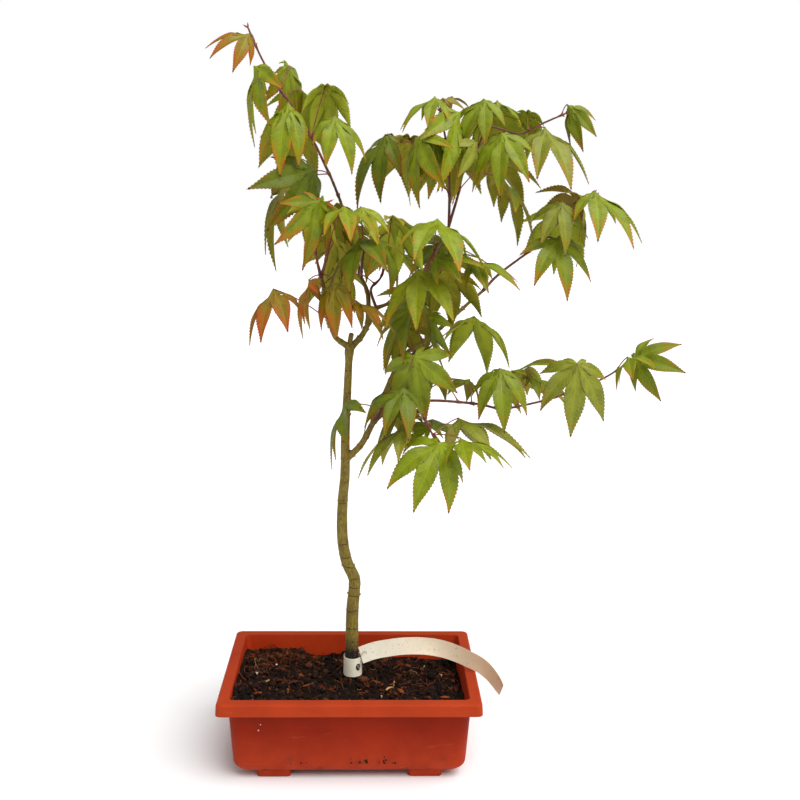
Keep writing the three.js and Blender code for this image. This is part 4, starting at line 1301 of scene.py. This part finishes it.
def cut_slit(tag):
    """Cuts the slit in the band that the strip's tail was pushed through."""
    cutter = Piece()
    (x, z), (half_x, half_z) = SLIT["middle"], SLIT["half"]
    rings = np.array([[(x + half_x * cos(turn), depth, z + half_z * sin(turn)) for turn in turns(24)]
                      for depth in SLIT["depths"]])
    cutter.add(rings, [face[::-1] for face in skin(rings)], TAG_FINISH)
    knife = placed("slit", cutter.mesh("slit"))
    cut = tag.modifiers.new("slit", "BOOLEAN")
    cut.operation = "DIFFERENCE"
    cut.object = knife
    shaped = bpy.data.meshes.new_from_object(tag.evaluated_get(bpy.context.evaluated_depsgraph_get()))
    tag.modifiers.clear()
    tag.data = shaped
    bpy.data.objects.remove(knife)


def grow_tongue():
    """The end of the strip's tail, which shows in the slit, and a stray fibre on the band."""
    piece = Piece()
    out = TAG["radius"] - 0.1
    for k, (x, z, length) in enumerate(((5.2, 68.6, 4.6), (6.1, 66.8, 3))):
        turn = asin((x - TAG["centre"][0]) / out)
        start = np.array([x, TAG["centre"][1] - out * cos(turn) + 0.5, z + 1.2])
        bud(piece, start, unit(np.array([0.35 - 0.2 * k, -0.25, -1])), length, 1.6, TONGUE)
    points = np.array([(7.2 + 0.9 * k, -6.6 + 0.5 * k, 75.2 + 5.5 * sin(0.42 * k)) for k in range(8)])
    piece.loft(tube(points, [0.16] * 8, 5), LITTER["dark"])
    piece.make("tag_tongue", "tag", "tag")


# Studio


def soft_sun(name, from_way, angle, strength):
    """An even soft light from one direction, as from a wide panel far away."""
    data = bpy.data.lights.new(name, "SUN")
    data.angle = radians(angle)
    data.energy = strength
    placed(name, data).rotation_euler = Vector(from_way).to_track_quat("Z", "Y").to_euler()


def make_floor():
    """A wide white floor, in metres."""
    size = 6
    mesh = bpy.data.meshes.new("studio_floor")
    corners = [(-size, -size, 0), (size, -size, 0), (size, size, 0), (-size, size, 0)]
    mesh.from_pydata(corners, [], [(0, 1, 2, 3)])
    mesh.materials.append(floor_finish())
    floor = placed("studio_floor", mesh)


def make_world():
    """White for the camera, dimmer for what it lights."""
    world = bpy.data.worlds.new("studio")
    world.use_nodes = True
    nodes, links = world.node_tree.nodes, world.node_tree.links
    shown, lit = nodes["Background"], nodes.new("ShaderNodeBackground")
    for light, tint, strength in ((shown, (1, 1, 1, 1), 1), (lit, (1, 0.99, 0.98, 1), AMBIENT)):
        light.inputs["Color"].default_value = tint
        light.inputs["Strength"].default_value = strength
    path, mix = nodes.new("ShaderNodeLightPath"), nodes.new("ShaderNodeMixShader")
    for socket, source in zip(mix.inputs, (path.outputs["Is Camera Ray"], lit.outputs[0], shown.outputs[0])):
        links.new(source, socket)
    links.new(mix.outputs[0], nodes["World Output"].inputs["Surface"])
    bpy.context.scene.world = world


def make_camera():
    """The photo's viewpoint."""
    pitch, yaw, roll = (radians(turn) for turn in CAMERA["turns"])
    ahead = np.array([sin(yaw) * cos(pitch), cos(yaw) * cos(pitch), -sin(pitch)])
    level = np.array([cos(yaw), -sin(yaw), 0])
    down = np.cross(ahead, level)
    right = level * cos(roll) + down * sin(roll)
    down = down * cos(roll) - level * sin(roll)
    data = bpy.data.cameras.new("camera")
    data.sensor_width = CAMERA["sensor"]
    data.lens = CAMERA["focal"] / CAMERA["width"] * CAMERA["sensor"]
    data.clip_start, data.clip_end = 0.01, 50
    camera = placed("camera", data)
    columns = (right, -down, -ahead, np.array(CAMERA["place"]) * MM + POT_MIDDLE)
    camera.matrix_world = Matrix([[*(column[i] for column in columns)] for i in range(3)] + [[0, 0, 0, 1]])
    bpy.context.scene.camera = camera


# Assembly

low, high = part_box("pot")
POT_MIDDLE = np.array([(low.x + high.x) / 2, (low.y + high.y) / 2, 0])

LEAF_FINISHES = leaf_finishes()
STALKS = {"ripe": twig_finish("stalk_ripe", (112, 44, 28), (148, 76, 38)),
          "green": twig_finish("stalk_green", (138, 96, 42), (130, 60, 34))}
STEM = twig_finish("stem_skin", (86, 34, 26), (118, 54, 34))
BUD = twig_finish("bud_scales", (120, 32, 26), (164, 52, 32))
BARK = bark_finish()
SCAR = grained("bark_scar", (58, 42, 24), (0.6, 0.8), 0.8, 0.1, 0.2)
YOUNG = grained("leaf_unfolding", (196, 62, 26), (0.45, 0.6), 1, 0.1, 0.3)
TONGUE = grained("tag_tail", (128, 120, 112), (0.45, 0.6), 1, 0.05, 0.3)
# The pot's outside: its rim's colours, then its wall's, which are darker as painted shade
POT_FINISH = pot_finish("pot_plastic", ((160, 51, 18), (172, 58, 22)), ((130, 28, 3), (144, 34, 5)))
# The inside's colours, lighter than the rim's as painted light on the inner walls
INSIDE_PAINTED_LIGHT = ((190, 58, 22), (202, 66, 26))
POT_INSIDE_PAINTED_LIGHT = pot_finish("pot_inside_painted_light", INSIDE_PAINTED_LIGHT, INSIDE_PAINTED_LIGHT)
SOIL_FINISH = soil_finish()
TAG_FINISH = tag_finish()
LITTER_COLOURS = {
    "dark": ((24, 12, 7), (50, 27, 15)), "black": ((9, 5, 3), (24, 13, 8)),
    "brown": ((60, 32, 17), (96, 54, 30)), "rust": ((100, 46, 22), (144, 74, 38)),
    "straw": ((176, 132, 82), (206, 170, 118)), "pale": ((196, 188, 172), (222, 216, 204)),
}
LITTER = {kind: chip_finish(f"litter_{kind}", *pair) for kind, pair in LITTER_COLOURS.items()}

grow_trunk()
for index, (name, (path, ends)) in enumerate(BOUGHS.items()):
    grow_bough(name, path, ends, 40 + index)
for index, (name, (path, rows)) in enumerate(SHOOTS.items()):
    grow_shoot(name, path, rows, index + 1)
make_pot()
make_soil()
make_litter()
make_tag()
grow_tongue()

make_floor()
make_world()
soft_sun("key", from_way=(0.44, -0.34, 1), angle=62, strength=3.52)
make_camera()
bpy.context.scene.view_settings.view_transform = "Standard"
